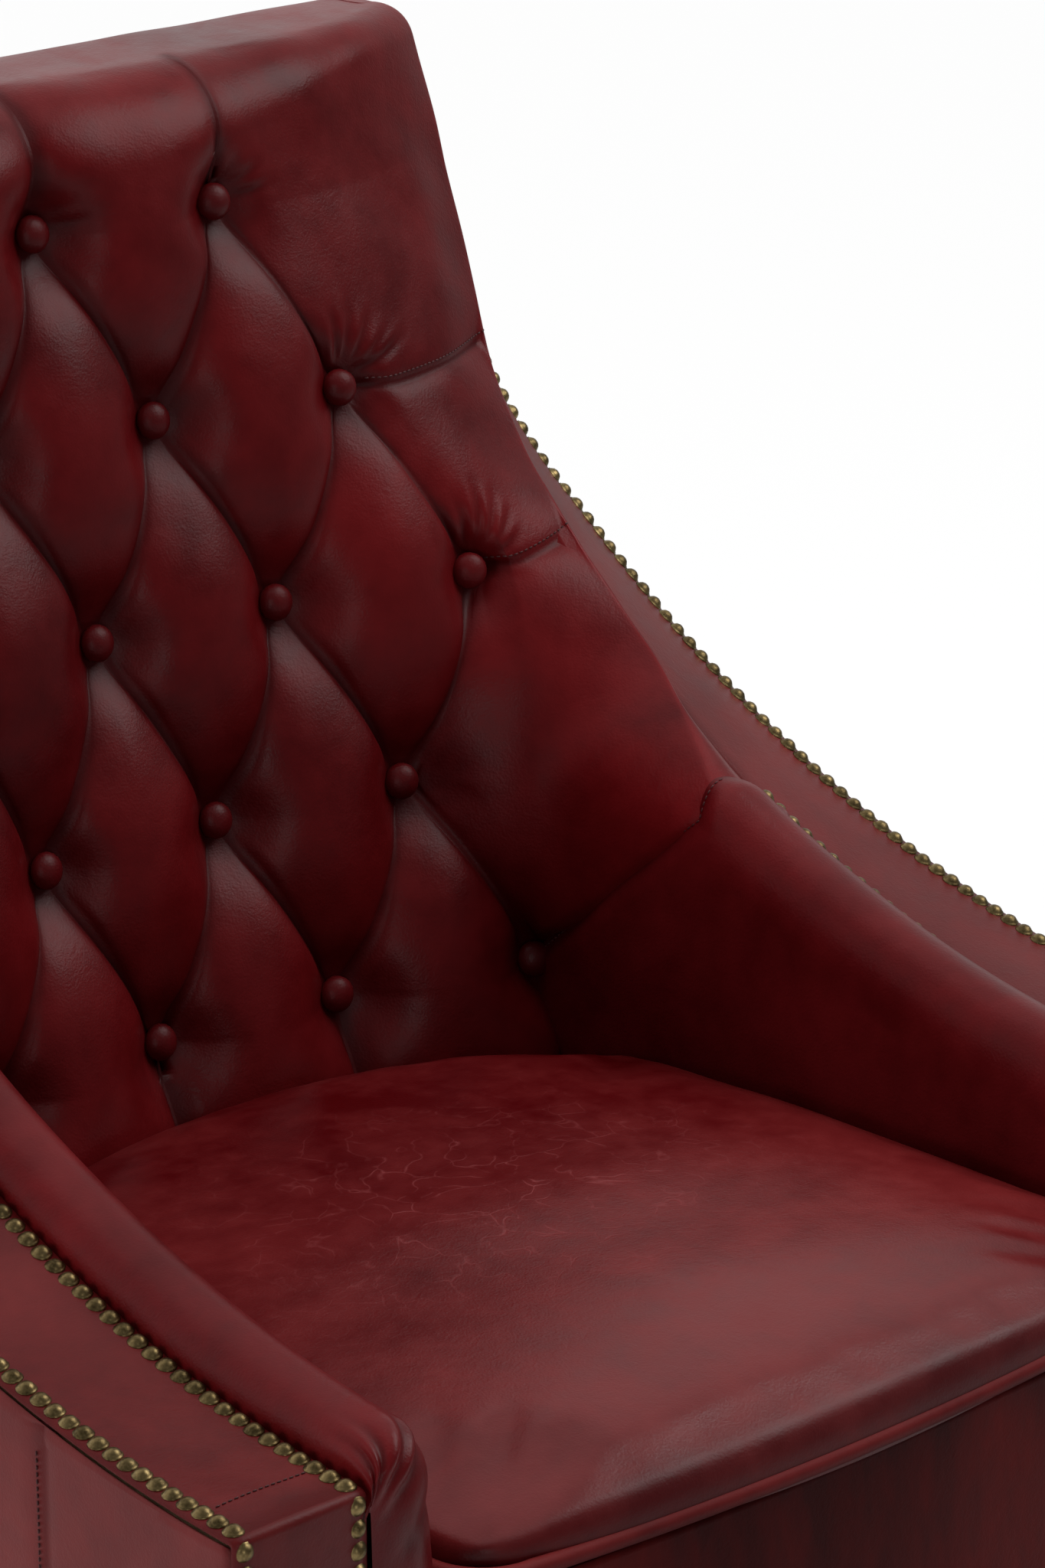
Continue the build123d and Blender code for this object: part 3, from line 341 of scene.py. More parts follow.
around = np.concatenate([np.arange(seat_count), np.arange(1, seat_count) * seat_count + seat_count - 1,
                         (seat_count - 1) * seat_count + np.arange(seat_count - 2, -1, -1),
                         np.arange(seat_count - 2, 0, -1) * seat_count])
rim = top.reshape(-1, 3)[around]
skirt_in, skirt_drop = 0.985, 0.014
skirt = rim * (skirt_in, skirt_in, 1) - (0, 0, skirt_drop)
seat_points = np.concatenate([top.reshape(-1, 3), skirt])
loop = np.arange(len(around))
below = len(top.reshape(-1, 3)) + loop
skirt_faces = np.stack([around, below, np.roll(below, -1), np.roll(around, -1)], axis=-1)
seat_faces = np.concatenate([grid_faces(seat_count, seat_count), skirt_faces])
seat_red = leather_finish("seat_leather", colour(0.056, 0.0005, 0.0014), colour(0.138, 0.0120, 0.0125), 0.33, 0.6,
                          gloss=0.22)
# Painted shade down the rounded front edge of the seat and on the skirt under it.
edge_shade, edge_shade_reach = 0.8, 0.022
front_shade = edge_shade * np.exp(-(v[..., 0] / edge_shade_reach) ** 2) * np.ones(seat_count)[None, :]
# Painted light and shade across the seat: a painted sheen toward the front and right, painted shade toward the rear
# left.
seat_pad = new_piece("seat_pad", seat_points, seat_faces, seat_red,
                     hollow=np.concatenate([front_shade.ravel(), np.ones(len(around))]),
                     rubbed=1.3 * eased((0.14 - seat_points[:, 1] + 0.3 * seat_points[:, 0]) / 0.46) - 0.8,
                     sat_on=np.concatenate([sat_on.ravel(), np.zeros(len(around))]))


def puff_out(piece, held, pressure, most):
    """Cloth blown up from inside: held points stay, and no point moves further than the cap."""
    rest = np.empty(len(piece.data.vertices) * 3)
    piece.data.vertices.foreach_get("co", rest)
    group = piece.vertex_groups.new(name="held")
    for weight in np.unique(held[held > 0]):
        group.add(np.nonzero(held == weight)[0].tolist(), float(weight), "REPLACE")
    modifier = piece.modifiers.new("blown", "CLOTH")
    cloth = modifier.settings
    cloth.use_pressure = True
    cloth.uniform_pressure_force = pressure
    cloth.effector_weights.gravity = 0
    cloth.vertex_group_mass = "held"
    cloth.bending_stiffness = 4.0
    cloth.quality = 4
    modifier.point_cache.frame_start, modifier.point_cache.frame_end = 1, 20
    for step in range(1, 21):
        bpy.context.scene.frame_set(step)
    depsgraph = bpy.context.evaluated_depsgraph_get()
    blown = piece.evaluated_get(depsgraph).to_mesh()
    moved = np.empty(len(rest))
    blown.vertices.foreach_get("co", moved)
    piece.evaluated_get(depsgraph).to_mesh_clear()
    piece.modifiers.remove(modifier)
    piece.vertex_groups.remove(group)
    bpy.context.scene.frame_set(1)
    move = (moved - rest).reshape(-1, 3)
    ends = np.empty(len(piece.data.edges) * 2, int)
    piece.data.edges.foreach_get("vertices", ends)
    first, second = ends[::2], ends[1::2]
    met = np.bincount(ends, minlength=len(move))[:, None]
    for _ in range(5):
        beside = np.zeros_like(move)
        np.add.at(beside, first, move[second])
        np.add.at(beside, second, move[first])
        move = 0.5 * move + 0.5 * beside / met
    far = np.linalg.norm(move, axis=1, keepdims=True)
    move = move * np.minimum(1.0, most / np.maximum(far, 1e-9))
    piece.data.vertices.foreach_set("co", (rest.reshape(-1, 3) + move).ravel())
    piece.data.update()


def softened(piece):
    """One subdivision, applied."""
    modifier = piece.modifiers.new("softer", "SUBSURF")
    modifier.levels = modifier.render_levels = 1
    depsgraph = bpy.context.evaluated_depsgraph_get()
    finer = bpy.data.meshes.new_from_object(piece.evaluated_get(depsgraph))
    finer.name = piece.name
    piece.modifiers.clear()
    piece.data = finer


seat_held = np.zeros(len(seat_points))
seat_held[around] = 1.0
seat_held[below] = 1.0
puff_pressure, puff_most = 3.0, 0.003
puff_out(seat_pad, seat_held, puff_pressure, puff_most)
softened(seat_pad)
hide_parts("seat_cover", "seat_foam")
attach(seat_pad, "root")

# Seat cord
# A leather-covered cord sewn in between the seat and the border, round the front and its corners,
# with the seam closing above and below it.
cord_low, cord_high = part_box("seat_cord")
cord_radius = (cord_high.z - cord_low.z) / 2
cord_z = (cord_high.z + cord_low.z) / 2
border_red = leather_finish("border_leather", colour(0.028, 0.0010, 0.0010), colour(0.100, 0.0064, 0.0058), 0.46,
                            drawn=(1.7, 1.7, 0.6), gloss=0.05)


def tube(path, radius, sides):
    """Points and faces of a round cord along a path, with closed ends."""
    path = np.asarray(path, float)
    along = np.gradient(path, axis=0)
    along /= np.linalg.norm(along, axis=1, keepdims=True)
    up = np.array([0.0, 0.0, 1.0])
    out = np.cross(along, up)
    out /= np.linalg.norm(out, axis=1, keepdims=True)
    high = np.cross(out, along)
    angle = np.linspace(0, 2 * pi, sides, endpoint=False)
    ring = out[:, None] * np.cos(angle)[None, :, None] + high[:, None] * np.sin(angle)[None, :, None]
    points = path[:, None] + radius * ring
    at = np.arange(len(path) * sides).reshape(len(path), sides)
    nxt = np.roll(at, -1, axis=1)
    faces = np.stack([at[:-1], at[1:], nxt[1:], nxt[:-1]], axis=-1).reshape(-1, 4).tolist()
    faces += [at[0].tolist(), at[-1][::-1].tolist()]
    return points.reshape(-1, 3), faces


angle = np.linspace(0, pi / 2, 24)
x_out, y_out = seat_half - cord_radius, seat_front + cord_radius
bend = seat_corner - cord_radius
arc_x = x_out - bend + bend * np.cos(angle)
arc_y = y_out + seat_bow + bend - bend * np.sin(angle)
back_y = cord_high.y
run_y = np.linspace(back_y, arc_y[0], 14)[:-1]
run_x = x_out - arm_taper * (run_y - arc_y[0])
bow_x = np.linspace(arc_x[-1], 0, 50)[1:]
bow_y = y_out + seat_bow * (bow_x / arc_x[-1]) ** 2
half_path = np.concatenate([np.stack([run_x, run_y], -1), np.stack([arc_x, arc_y], -1), np.stack([bow_x, bow_y], -1)])
path = np.concatenate([half_path, half_path[-2::-1] * (-1, 1)])
path = np.concatenate([path, np.full((len(path), 1), cord_z)], axis=1)
cord_points, cord_faces = tube(path, cord_radius, 18)
welt_red = leather_finish("welt_leather", colour(0.055, 0.0030, 0.0036), colour(0.140, 0.0140, 0.0140), 0.58,
                          gloss=0.10)
# Painted shade on the underside of the cord and a painted highlight along its top.
lifted = (cord_points[:, 2] - cord_z) / cord_radius
seat_cord = new_piece("seat_welt", cord_points, cord_faces, welt_red, hollow=np.clip(-lifted, 0, 1),
                      rubbed=np.clip(lifted, 0, 1))
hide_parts("seat_cord")
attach(seat_cord, "root")

# Front border
# Leather over wadding below the cord, from arm to arm, pulled tight and tacked under the rail. Its ends
# turn in toward the noses of the arms.
border_low, border_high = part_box("front_border")
border_half = border_high.x - 0.0003
border_rows, border_columns, border_reach = 56, 130, 1.06
border_bulge, end_turn, border_thick = 0.0022, 0.011, 0.0015
u = np.linspace(-border_reach, border_reach, border_columns)[None, :]
v = np.linspace(0, 1, border_rows)[:, None]
border = np.zeros((border_rows, border_columns, 3))
border[..., 0] = border_half * u
border[..., 1] = border_low.y + seat_bow * u ** 2
border[..., 2] = border_low.z + (border_high.z - border_low.z) * v
border[..., 1] -= border_bulge * np.sin(pi * v) * (1 - u ** 8)
border[..., 1] += end_turn * eased((np.abs(u) - 0.985) / 0.075)
border[..., 1] += ripple(8, border * (1.0, 1.0, 0.25), 9, 0.07, 0.0006) * np.sin(pi * v)
fold = border[:1] + np.array([0, 0.012, 0.0004])
border = np.concatenate([fold, border])


def thickened(piece, depth):
    """Leather given its thickness, inwards."""
    modifier = piece.modifiers.new("thickness", "SOLIDIFY")
    modifier.thickness, modifier.offset = depth, -1
    whole = bpy.data.meshes.new_from_object(piece.evaluated_get(bpy.context.evaluated_depsgraph_get()))
    whole.name = piece.name
    piece.modifiers.clear()
    piece.data = whole


# Painted shade along the fold under the cord and toward the top and bottom edges of the border.
shaded = np.concatenate([[0.4], 0.25 * (1 - np.sin(pi * v[:, 0]))])
front_border = new_piece("front_border_leather", border, grid_faces(*border.shape[:2]), border_red,
                         hollow=np.repeat(shaded[:, None], border_columns, 1), rubbed=np.zeros(border.shape[:2]))
thickened(front_border, border_thick)
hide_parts("front_border", "front_wadding")
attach(front_border, "root")

# Inside arms
# Foam over the arm rail under one piece of leather: a flat inner face, a soft roll along the top and
# a rounded nose down to the frame, gathered at its top. The seam with the back slants up and forward.
band_low, band_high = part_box("arm_band_right")
half = band_high.x
arm_front = band_low.y
arm_height = band_low.z + 0.002
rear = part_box("outside_back")[1].y
panel_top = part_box("outside_back")[1].z
height = cad_box[1].z
band_width, band_least = 0.078, 0.048
roll_width, roll_rise = 0.050, 0.021
nose_bulge, nose_corner = 0.004, 0.026
back_lean = 0.17
swoop_radius, neck_radius = 0.915, 0.250
neck_setback, band_setback = 0.1388, 0.0155
side_top = height - 0.055
band_twist = radians(75.0)
join_run, join_rise = 0.126, 0.115
row_low = seat_edge + 0.040
arm_in = half - band_width - roll_width
half_pitch = (arm_in - 0.020) / 4
row_rise = (height - 0.077 - row_low) / 4
back_foot = seat_edge - 0.007
back_tilt = tan(radians(12.0))
barrel_low, barrel_top = 0.620, 0.950
rear_slope = 0.108
button_y = rear - (panel_top - back_foot) * rear_slope - 0.129
swoop_angle = asin((rear - neck_setback - arm_front) / swoop_radius)
neck_y = rear - neck_setback
neck_z = arm_height + swoop_radius * (1 - cos(swoop_angle))
top_run = rear - band_setback - neck_y + neck_radius * sin(swoop_angle)
top_climb = side_top - neck_z - neck_radius * cos(swoop_angle)
neck_angle = atan2(top_climb, top_run) + asin(neck_radius / hypot(top_run, top_climb))
side_y = neck_y + neck_radius * (sin(neck_angle) - sin(swoop_angle))
side_z = neck_z + neck_radius * (cos(swoop_angle) - cos(neck_angle))


def sweep_line(long_count, short_count, side_count):
    """(y, z, slope) along the outer edge of the arm, from its front to the top of the back."""
    a = np.linspace(0, swoop_angle, long_count)
    b = np.linspace(swoop_angle, neck_angle, short_count)[1:]
    z = np.linspace(side_z, side_top, side_count)[1:]
    long = np.stack([arm_front + swoop_radius * np.sin(a), arm_height + swoop_radius * (1 - np.cos(a)), a], -1)
    short = np.stack([neck_y + neck_radius * (np.sin(b) - sin(swoop_angle)),
                      neck_z + neck_radius * (cos(swoop_angle) - np.cos(b)), b], -1)
    straight = np.stack([side_y + (z - side_z) / tan(neck_angle), z, np.full(len(z), neck_angle)], -1)
    return np.concatenate([long, short, straight])


def outer_x(y, z):
    return half - arm_taper * (y - arm_front) - back_lean * np.maximum(0.0, z - neck_z)


def band_turn(z):
    return band_twist * np.clip((z - arm_height) / (side_top - arm_height), 0, 1)


def band_lines(stations):
    """Outer edge, inner edge and outward direction of the nailed band."""
    y, z, a = stations.T
    wide = band_width + (band_least - band_width) * eased((z - neck_z) / (side_top - neck_z))
    turn = band_turn(z)
    across = np.stack([-np.cos(turn), -np.sin(a) * np.sin(turn), np.cos(a) * np.sin(turn)], -1)
    normal = np.stack([np.sin(turn), -np.sin(a) * np.cos(turn), np.cos(a) * np.cos(turn)], -1)
    outer = np.stack([outer_x(y, z), y, z], -1)
    return outer, outer + across * wide[:, None], normal


sweep = sweep_line(90, 50, 30)
outer_edge, inner_edge, band_normal = band_lines(sweep)
beyond = inner_edge[-1:] + (inner_edge[-1:] - inner_edge[-2:-1]) * 30
edge_line = np.concatenate([inner_edge, beyond])


def edge_at(z):
    """(x, y) of the inner edge of the band at a height."""
    return np.interp(z, edge_line[:, 2], edge_line[:, 0]), np.interp(z, edge_line[:, 2], edge_line[:, 1])


def button_plane(x, z):
    """Depth of the surface that the buttons are drawn down to."""
    up = np.maximum(z, back_foot) - back_foot
    radius = barrel_low + (barrel_top - barrel_low) * up / (height - back_foot)
    return button_y + up * back_tilt - (radius - np.sqrt(radius ** 2 - x ** 2))


join_y = button_plane(4 * half_pitch, row_low)


def seam_y(z):
    """Seam between inside arm and inside back."""
    return join_y - join_run * np.clip((z - row_low) / join_rise, 0, 1)


def bezier(p0, p1, p2, p3, t):
    return (1 - t) ** 3 * p0 + 3 * (1 - t) ** 2 * t * p1 + 3 * (1 - t) * t ** 2 * p2 + t ** 3 * p3


arm_bottom = seat_edge - 0.06
nose_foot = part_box("arm_cover_right")[0].z + 0.0004
nose_y = arm_front - nose_bulge
face_count, roll_count = 26, 26


def arm_profile(y, draw, drop):
    """Section of the arm at each y: up the inner face, over the roll and down to the band."""
    y = np.asarray(y)[..., None]
    draw, drop = np.asarray(draw)[..., None], np.asarray(drop)[..., None]
    edge_x = np.interp(np.maximum(y, arm_front), inner_edge[:, 1], inner_edge[:, 0])
    top = np.interp(np.maximum(y, arm_front), inner_edge[:, 1], inner_edge[:, 2])
    x0 = arm_in - arm_taper * (y - arm_front) + draw
    x1 = edge_x - 0.0006
    shoulder, crest_z = top - roll_rise - drop, top + roll_rise - drop
    crest_x, foot_z = (x0 + x1) / 2, top - 0.0015 - 0.3 * drop
    t = np.linspace(0, 1, face_count)[None, :]
    face_x = x0 + 0 * t - 0.003 * np.sin(pi * t) * np.clip(1 - draw / 0.02, 0, 1)
    deeper = (arm_bottom - nose_foot) * (1 - eased((y - nose_y - nose_corner) / 0.03))
    face_z = arm_bottom + (shoulder - arm_bottom) * t - deeper * np.clip(1 - 5 * t, 0, 1)
    t = np.linspace(0, 1, roll_count)[None, 1:]
    in_x = bezier(x0, x0, crest_x - 0.58 * (crest_x - x0), crest_x, t)
    in_z = bezier(shoulder, shoulder + 0.62 * (crest_z - shoulder), crest_z, crest_z, t)
    out_x = bezier(crest_x, crest_x + 0.60 * (x1 - crest_x), x1, x1, t)
    out_z = bezier(crest_z, crest_z, foot_z + 0.62 * (crest_z - foot_z), foot_z, t)
    tuck_x, tuck_z = x1 + 0.003 + 0 * t[:, :1], foot_z - 0.005
    x = np.concatenate([face_x, in_x, out_x, tuck_x], axis=-1)
    z = np.concatenate([face_z, in_z, out_z, tuck_z], axis=-1)
    return x, z


profile_count = face_count + 2 * (roll_count - 1) + 1
arm_rows, nose_rows, cap_rows = 120, 22, 12
end = np.full(profile_count, float(join_y))
for _ in range(40):
    x, z = arm_profile(end, np.zeros(profile_count), np.zeros(profile_count))
    end = 0.5 * end + 0.5 * seam_y(np.diagonal(z))
start = nose_y + nose_corner
nose_droop, cap_droop = 0.62, 0.0165
rows = []
for part in np.linspace(0, 1, arm_rows):
    y = end + (start - end) * part
    x, z = arm_profile(y, np.zeros(profile_count), np.zeros(profile_count))
    rows.append(np.stack([np.diagonal(x), y, np.diagonal(z)], -1))
for k in range(1, nose_rows + 1):
    turn = pi / 2 * k / nose_rows
    y = np.full(1, start - nose_corner * sin(turn))
    draw = nose_corner * (1 - cos(turn))
    x, z = arm_profile(y, np.full(1, draw), np.full(1, nose_droop * draw))
    rows.append(np.stack([x[0], np.full(profile_count, y[0]), z[0]], -1))
for k in range(1, cap_rows + 1):
    part = k / cap_rows
    y = np.full(1, nose_y - 0.0006 * sin(pi * part))
    draw = nose_corner + (roll_width - 0.002 - nose_corner) * part
    x, z = arm_profile(y, np.full(1, draw), np.full(1, nose_droop * nose_corner + cap_droop * part))
    rows.append(np.stack([x[0], np.full(profile_count, y[0]), z[0]], -1))
arm = np.stack(rows)


def grid_normals(points):
    """Unit normals of a grid, pointing off its face."""
    n = np.cross(np.gradient(points, axis=1), np.gradient(points, axis=0))
    return n / np.maximum(np.linalg.norm(n, axis=-1, keepdims=True), 1e-12)


arm_out = grid_normals(arm)
if arm_out[60, 8, 0] > 0:
    arm_out = -arm_out
to_seam = np.abs(arm[..., 1] - end[None, :])
lip_depth, lip_reach, gather_height = 0.0065, 0.016, 0.0015
lip = lip_depth * np.clip(1 - to_seam / lip_reach, 0, 1) ** 2
on_roll = eased((np.arange(profile_count) - face_count + 6) / 10)
round_nose = np.zeros(len(arm))
round_nose[arm_rows - 9:] = np.sin(pi * np.linspace(0.02, 1.0, len(arm) - arm_rows + 9)) ** 2
column = np.arange(profile_count)
gather = np.sin(column * 0.66 + 0.9 * np.sin(column * 0.31))
gathers = gather_height * round_nose[:, None] * (gather * on_roll * eased((profile_count - 2 - column) / 6))
uneven = ripple(21, arm, 8, 0.11, 0.0008) * eased(to_seam / 0.03)
arm = arm + arm_out * (gathers + uneven - lip)[..., None]
# Painted shade in the seam with the back and in the troughs of the gathers; a painted sheen along the top of the roll.
arm_painted_shade = np.clip(1 - to_seam / 0.012, 0, 1) * 0.9 + 0.45 * np.clip(-gathers / 0.0011, 0, 1)
arm_painted_sheen = 0.5 * np.exp(-((column - face_count - roll_count + 4) / 9.0) ** 2)[None, :] + 0 * arm_painted_shade
arm_red = leather_finish("arm_leather", colour(0.050, 0.0010, 0.0018), colour(0.122, 0.0056, 0.0072), 0.36)
for side, sign in (("right", 1), ("left", -1)):
    piece = new_piece(f"inside_arm_{side}", arm * (sign, 1, 1), grid_faces(*arm.shape[:2], flip=sign < 0), arm_red,
                      hollow=arm_painted_shade, rubbed=arm_painted_sheen)
    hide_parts(f"arm_cover_{side}", f"arm_foam_{side}")
    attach(piece, "root")

# Tufted back
# One piece of leather over thick foam, drawn down by buttons on twine. The pleats run from button to
# button, up over the top and out to the sides, so that the leather between them stands in full tufts.
tuft_crest, pleat_crest, hollow_floor = 0.037, 0.021, 0.0085
near = 0.015
dimple = 0.021
edge_stand = 0.005
fold_from, fold_run, fold_tip = 0.575, 0.085, 0.005
flat_from, flat_run = 0.58, 0.22
panel_share, pleat_reach = 0.62, 0.034
tuck_from, tuck_rise = 0.915, 0.025
seam_depth, panel_gap = 0.0042, 0.0003
top_round, top_round_side, top_round_rear, top_inset = 0.045, 0.017, 0.010, 0.018
interval_columns, side_columns, roll_columns, return_columns = 18, 56, 16, 9
row_z = [row_low + k * row_rise for k in range(5)]
seam_rise = {2: 0.015, 3: 0.004}


def row_places(row):
    """Buttons of a row, in half pitches from the middle."""
    if row == 4:
        return -2, 0, 2
    return (-3, -1, 1, 3) if row % 2 else (-4, -2, 0, 2, 4)


def pleats(z):
    """Eight places across a level, in half pitches, where pleats cross it; and their height."""
    u = (z - row_low) / row_rise
    if u <= 0:
        spots = [s for j in (-4, -2, 0, 2, 4) for s in (j - near, j + near)][1:-1]
        return spots, 0.024 * (1 - np.exp(3.0 * u))
    if u >= 4:
        spots = [-3 - near] + [s for j in (-2, 0, 2) for s in (j - near, j + near)] + [3 + near]
        return spots, 0.031 * (1 - np.exp(-4.5 * (u - 4)))
    row = min(3, int(u))
    f = min(1 - near, max(near, u - row))
    rise = pleat_crest * (4 * f * (1 - f)) ** 0.8
    if row % 2 == 0:
        return [-4 + f, -2 - f, -2 + f, -f, f, 2 - f, 2 + f, 4 - f], rise
    spots = [s for j in (-3, -1, 1, 3) for s in (j - f, j + f)]
    if row == 3:
        spots[0], spots[-1] = -3 - near, 3 + near
    return spots, rise


def crest(wide):
    """Height of a tuft for its width at a level, from nothing to full."""
    wide = np.clip(wide, 0, 1)
    return tuft_crest * (wide * (2 - wide)) ** 0.7


def last_pleat(z):
    """Place of the outermost pleat on the right at a level."""
    spots = pleats(z)[0]
    return (spots[-2] if z > row_z[3] else spots[-1]) * half_pitch


def tuft_height(x, z):
    """Leather in front of the button plane between the pleats of a level."""
    spots, rise = pleats(z)
    creases = [s * half_pitch for s in spots]
    if z > row_z[3]:
        creases = creases[1:-1]
    h = np.full_like(x, rise)
    for a, b in zip(creases, creases[1:]):
        inside = (x >= a) & (x <= b)
        t = (x[inside] - a) / (b - a)
        full = max(0.0, float(crest((b - a) / half_pitch / 2)) - rise)
        h[inside] = rise + full * (4 * t * (1 - t)) ** 0.5
    return h


def button_near(x, z):
    """Distance from each place to the nearest button, measured on the back."""
    away = np.full(np.shape(x), 1.0)
    for row in range(5):
        for j in row_places(row):
            away = np.minimum(away, np.hypot(x - j * half_pitch, z - row_z[row]))
    return away


def run_along(path):
    """Distance from the start of a path to each of its points."""
    return np.concatenate([[0], np.cumsum(np.linalg.norm(np.diff(path, axis=0), axis=1))])


def at_stops(path, stops):
    """Points of a path at given distances along it."""
    run = run_along(path)
    return np.stack([np.interp(stops, run, axis) for axis in path.T], -1)


def evened(path, count):
    return at_stops(path, np.linspace(0, run_along(path)[-1], count))


def settled(path, spread):
    """Path with its corners eased; its two ends stay."""
    count, length = 240, run_along(path)[-1]
    path = evened(path, count)
    reach = min(count - 1, int(3 * spread / (length / count)) + 1)
    weights = np.exp(-0.5 * (np.arange(-reach, reach + 1) * length / count / spread) ** 2)
    weights /= weights.sum()
    wide = np.concatenate([2 * path[0] - path[reach:0:-1], path, 2 * path[-1] - path[-2:-reach - 2:-1]])
    return np.stack([np.convolve(wide[:, k], weights, "valid") for k in (0, 1)], -1)


def bowed(a, b, bulge, count):
    """Arc from a to b, bowed toward the sitter."""
    t = np.linspace(0, 1, count)[1:, None]
    way = b - a
    out = np.array([way[1], -way[0]]) / np.linalg.norm(way)
    return a + way * t + out * min(bulge, 0.42 * np.linalg.norm(way)) * 4 * t * (1 - t)


def side_line(z):
    """Plan of a level from its outermost pleat out to the band. Above the arm the leather is folded under at a
    crisp edge that laps the edge of the band; below the seam it runs on inside the arm."""
    rise, last = pleats(z)[1], last_pleat(z)
    edge_x, edge_y = (float(v) for v in edge_at(z))
    edge_y = max(edge_y, join_y - join_run - 0.005)
    turn, slope = float(band_turn(z)), max(0.35, float(np.interp(z, sweep[:, 1], sweep[:, 2])))
    folded, flat = float(eased((z - fold_from) / fold_run)), float(eased((z - flat_from) / flat_run))
    low_x = arm_in - arm_taper * (join_y - arm_front) + 0.003
    shoulder_x = low_x + (arm_in - 0.010 - low_x) * float(eased((z - row_low - row_rise / 2) / row_rise))
    shoulder_x = max(shoulder_x, last + 0.006)
    corner = np.array([max(edge_x - roll_width * (cos(turn) + 0.25 * sin(turn)), shoulder_x + 0.003),
                       edge_y - 0.5 * roll_width * sin(turn) - 0.016])
    off_band = np.array([sin(turn) / sin(slope), -cos(turn)])
    off_band *= edge_stand / (sin(turn) * off_band[0] - sin(slope) * cos(turn) * off_band[1])
    fold_edge = np.array([edge_x, edge_y]) + off_band
    corner = corner + (fold_edge - corner) * folded
    finish = np.array([edge_x - 0.0006 - 0.0023 * sin(turn), max(edge_y, corner[1] + 0.004)])
    full = panel_share * tuft_crest
    start = np.array([last, button_plane(last, z) - full])
    chord = start[1] + (corner[1] - start[1]) * (shoulder_x - last) / (corner[0] - last)
    shoulder = np.array([shoulder_x, button_plane(shoulder_x, z) - full])
    shoulder[1] += (chord - 0.012 - shoulder[1]) * flat
    panel = settled(np.concatenate([[start], bowed(start, shoulder, 0.005, 30), bowed(shoulder, corner, 0.003, 60)]),
                    0.045 - 0.015 * flat)
    way = np.gradient(panel, axis=0)
    out = np.stack([way[:, 1], -way[:, 0]], -1) / np.linalg.norm(way, axis=1, keepdims=True)
    run = run_along(panel)
    reach = min(pleat_reach, 0.7 * run[-1])
    sunk = 1 - np.sqrt(np.clip(1 - (1 - np.clip(run / reach, 0, 1)) ** 2, 0, 1))
    panel = panel - out * ((full - rise) * sunk)[:, None]
    tip = panel[-1] + way[-1] / np.linalg.norm(way[-1]) * fold_tip
    t = np.linspace(0, 1, 40)[1:, None]
    under = bezier(panel[-1], tip, tip + 0.25 * (finish - tip), finish, t)
    roll = bowed(panel[-1], finish, roll_rise + 0.006, 40)
    roll = roll + (under - roll) * folded
    path = np.concatenate([evened(panel, side_columns), evened(roll, roll_columns)])
    inside = eased((seam_y(z) - path[:, 1]) / 0.02) * float(z < row_low + join_rise)
    path[:, 0] += 0.008 * inside
    return path


fine = np.linspace(seat_edge - 0.05, height + 0.02, 330)
flank = np.stack([side_line(float(z)) for z in fine])


def back_row(z):
    """One level of the back, from the middle of the chair to the right: points, and depth of the crease."""
    spots = [s * half_pitch for s in pleats(z)[0]]
    x = [np.linspace(0, spots[4], interval_columns // 2 + 1)]
    for a, b in zip(spots[4:], spots[5:]):
        x.append(np.linspace(a, b, interval_columns + 1)[1:])
    x = np.concatenate(x)
    y = button_plane(x, z) - tuft_height(x, z)
    part = np.concatenate([np.linspace(0, 1, side_columns), np.ones(roll_columns)])
    lift = np.interp(z, [row_low, row_z[2], row_z[3], height], [0, seam_rise[2], seam_rise[3], 0])
    own = np.clip(z + lift * part, fine[0], fine[-1])
    side = np.stack([np.array([np.interp(h, fine, flank[:, c, k]) for c, h in enumerate(own)]) for k in (0, 1)], -1)
    past = x > last_pleat(z)
    if past.any():
        y[past] = np.interp(x[past], side[:, 0], side[:, 1])
        keep = side[side[:, 0] >= x[-1] - 1e-9]
        side = np.concatenate([[[x[-1], y[-1]]], keep])
        side = np.concatenate([evened(side[:-roll_columns], side_columns), side[-roll_columns:]])
    middle = np.stack([x, y, np.full(len(x), z)], -1)
    return np.concatenate([middle, np.concatenate([side, own[:, None]], axis=1)[1:]])


levels = np.concatenate([np.linspace(seat_edge - 0.04, row_low, 36)[:-1],
                         np.linspace(row_low, row_z[4], 4 * 52 + 1)[:-1],
                         np.linspace(row_z[4], height - top_round, 18)[:-1],
                         height - top_round + top_round * np.sin(np.linspace(0, pi / 2, 24))])
back = np.stack([back_row(float(z)) for z in levels])
middle_columns = interval_columns // 2 + 1 + 3 * interval_columns
x, z = back[..., 0], back[..., 2]
dip = 1 - np.exp(-(button_near(x, z) / dimple) ** 2)
plane = button_plane(np.minimum(x, 0.30), z)
drawn = plane - hollow_floor + (back[..., 1] - plane + hollow_floor) * dip
reach = np.clip((np.arange(back.shape[1]) - middle_columns - 8) / 10, 0, 1)[None, :]
back[..., 1] = drawn * (1 - reach) + back[..., 1] * reach
out = -grid_normals(back)
out *= np.where(out[80, 20, 1] > 0, -1, 1)
seam = np.zeros(back.shape[:2])
for row in seam_rise:
    gap = np.abs(levels - row_z[row])[:, None]
    along = np.arange(back.shape[1]) - middle_columns + 1
    along = np.clip(np.minimum(along / 3, (side_columns - along) / 3), 0, 1)[None, :]
    seam = np.maximum(seam, np.exp(-gap / 0.006) * along)
back = back - out * (seam_depth * seam)[..., None]
over = np.clip((levels - height + top_round) / top_round, 0, 1)
trim = (top_round_rear * (1 - np.sqrt(1 - over ** 8)))[:, None]
rear_line = (rear - (panel_top - levels) * rear_slope)[:, None] - panel_gap - trim
wide = float(outer_x(rear, side_top)) - top_inset + 0.006
shrink = 1 - trim / wide
back_edge = back[:, -1]
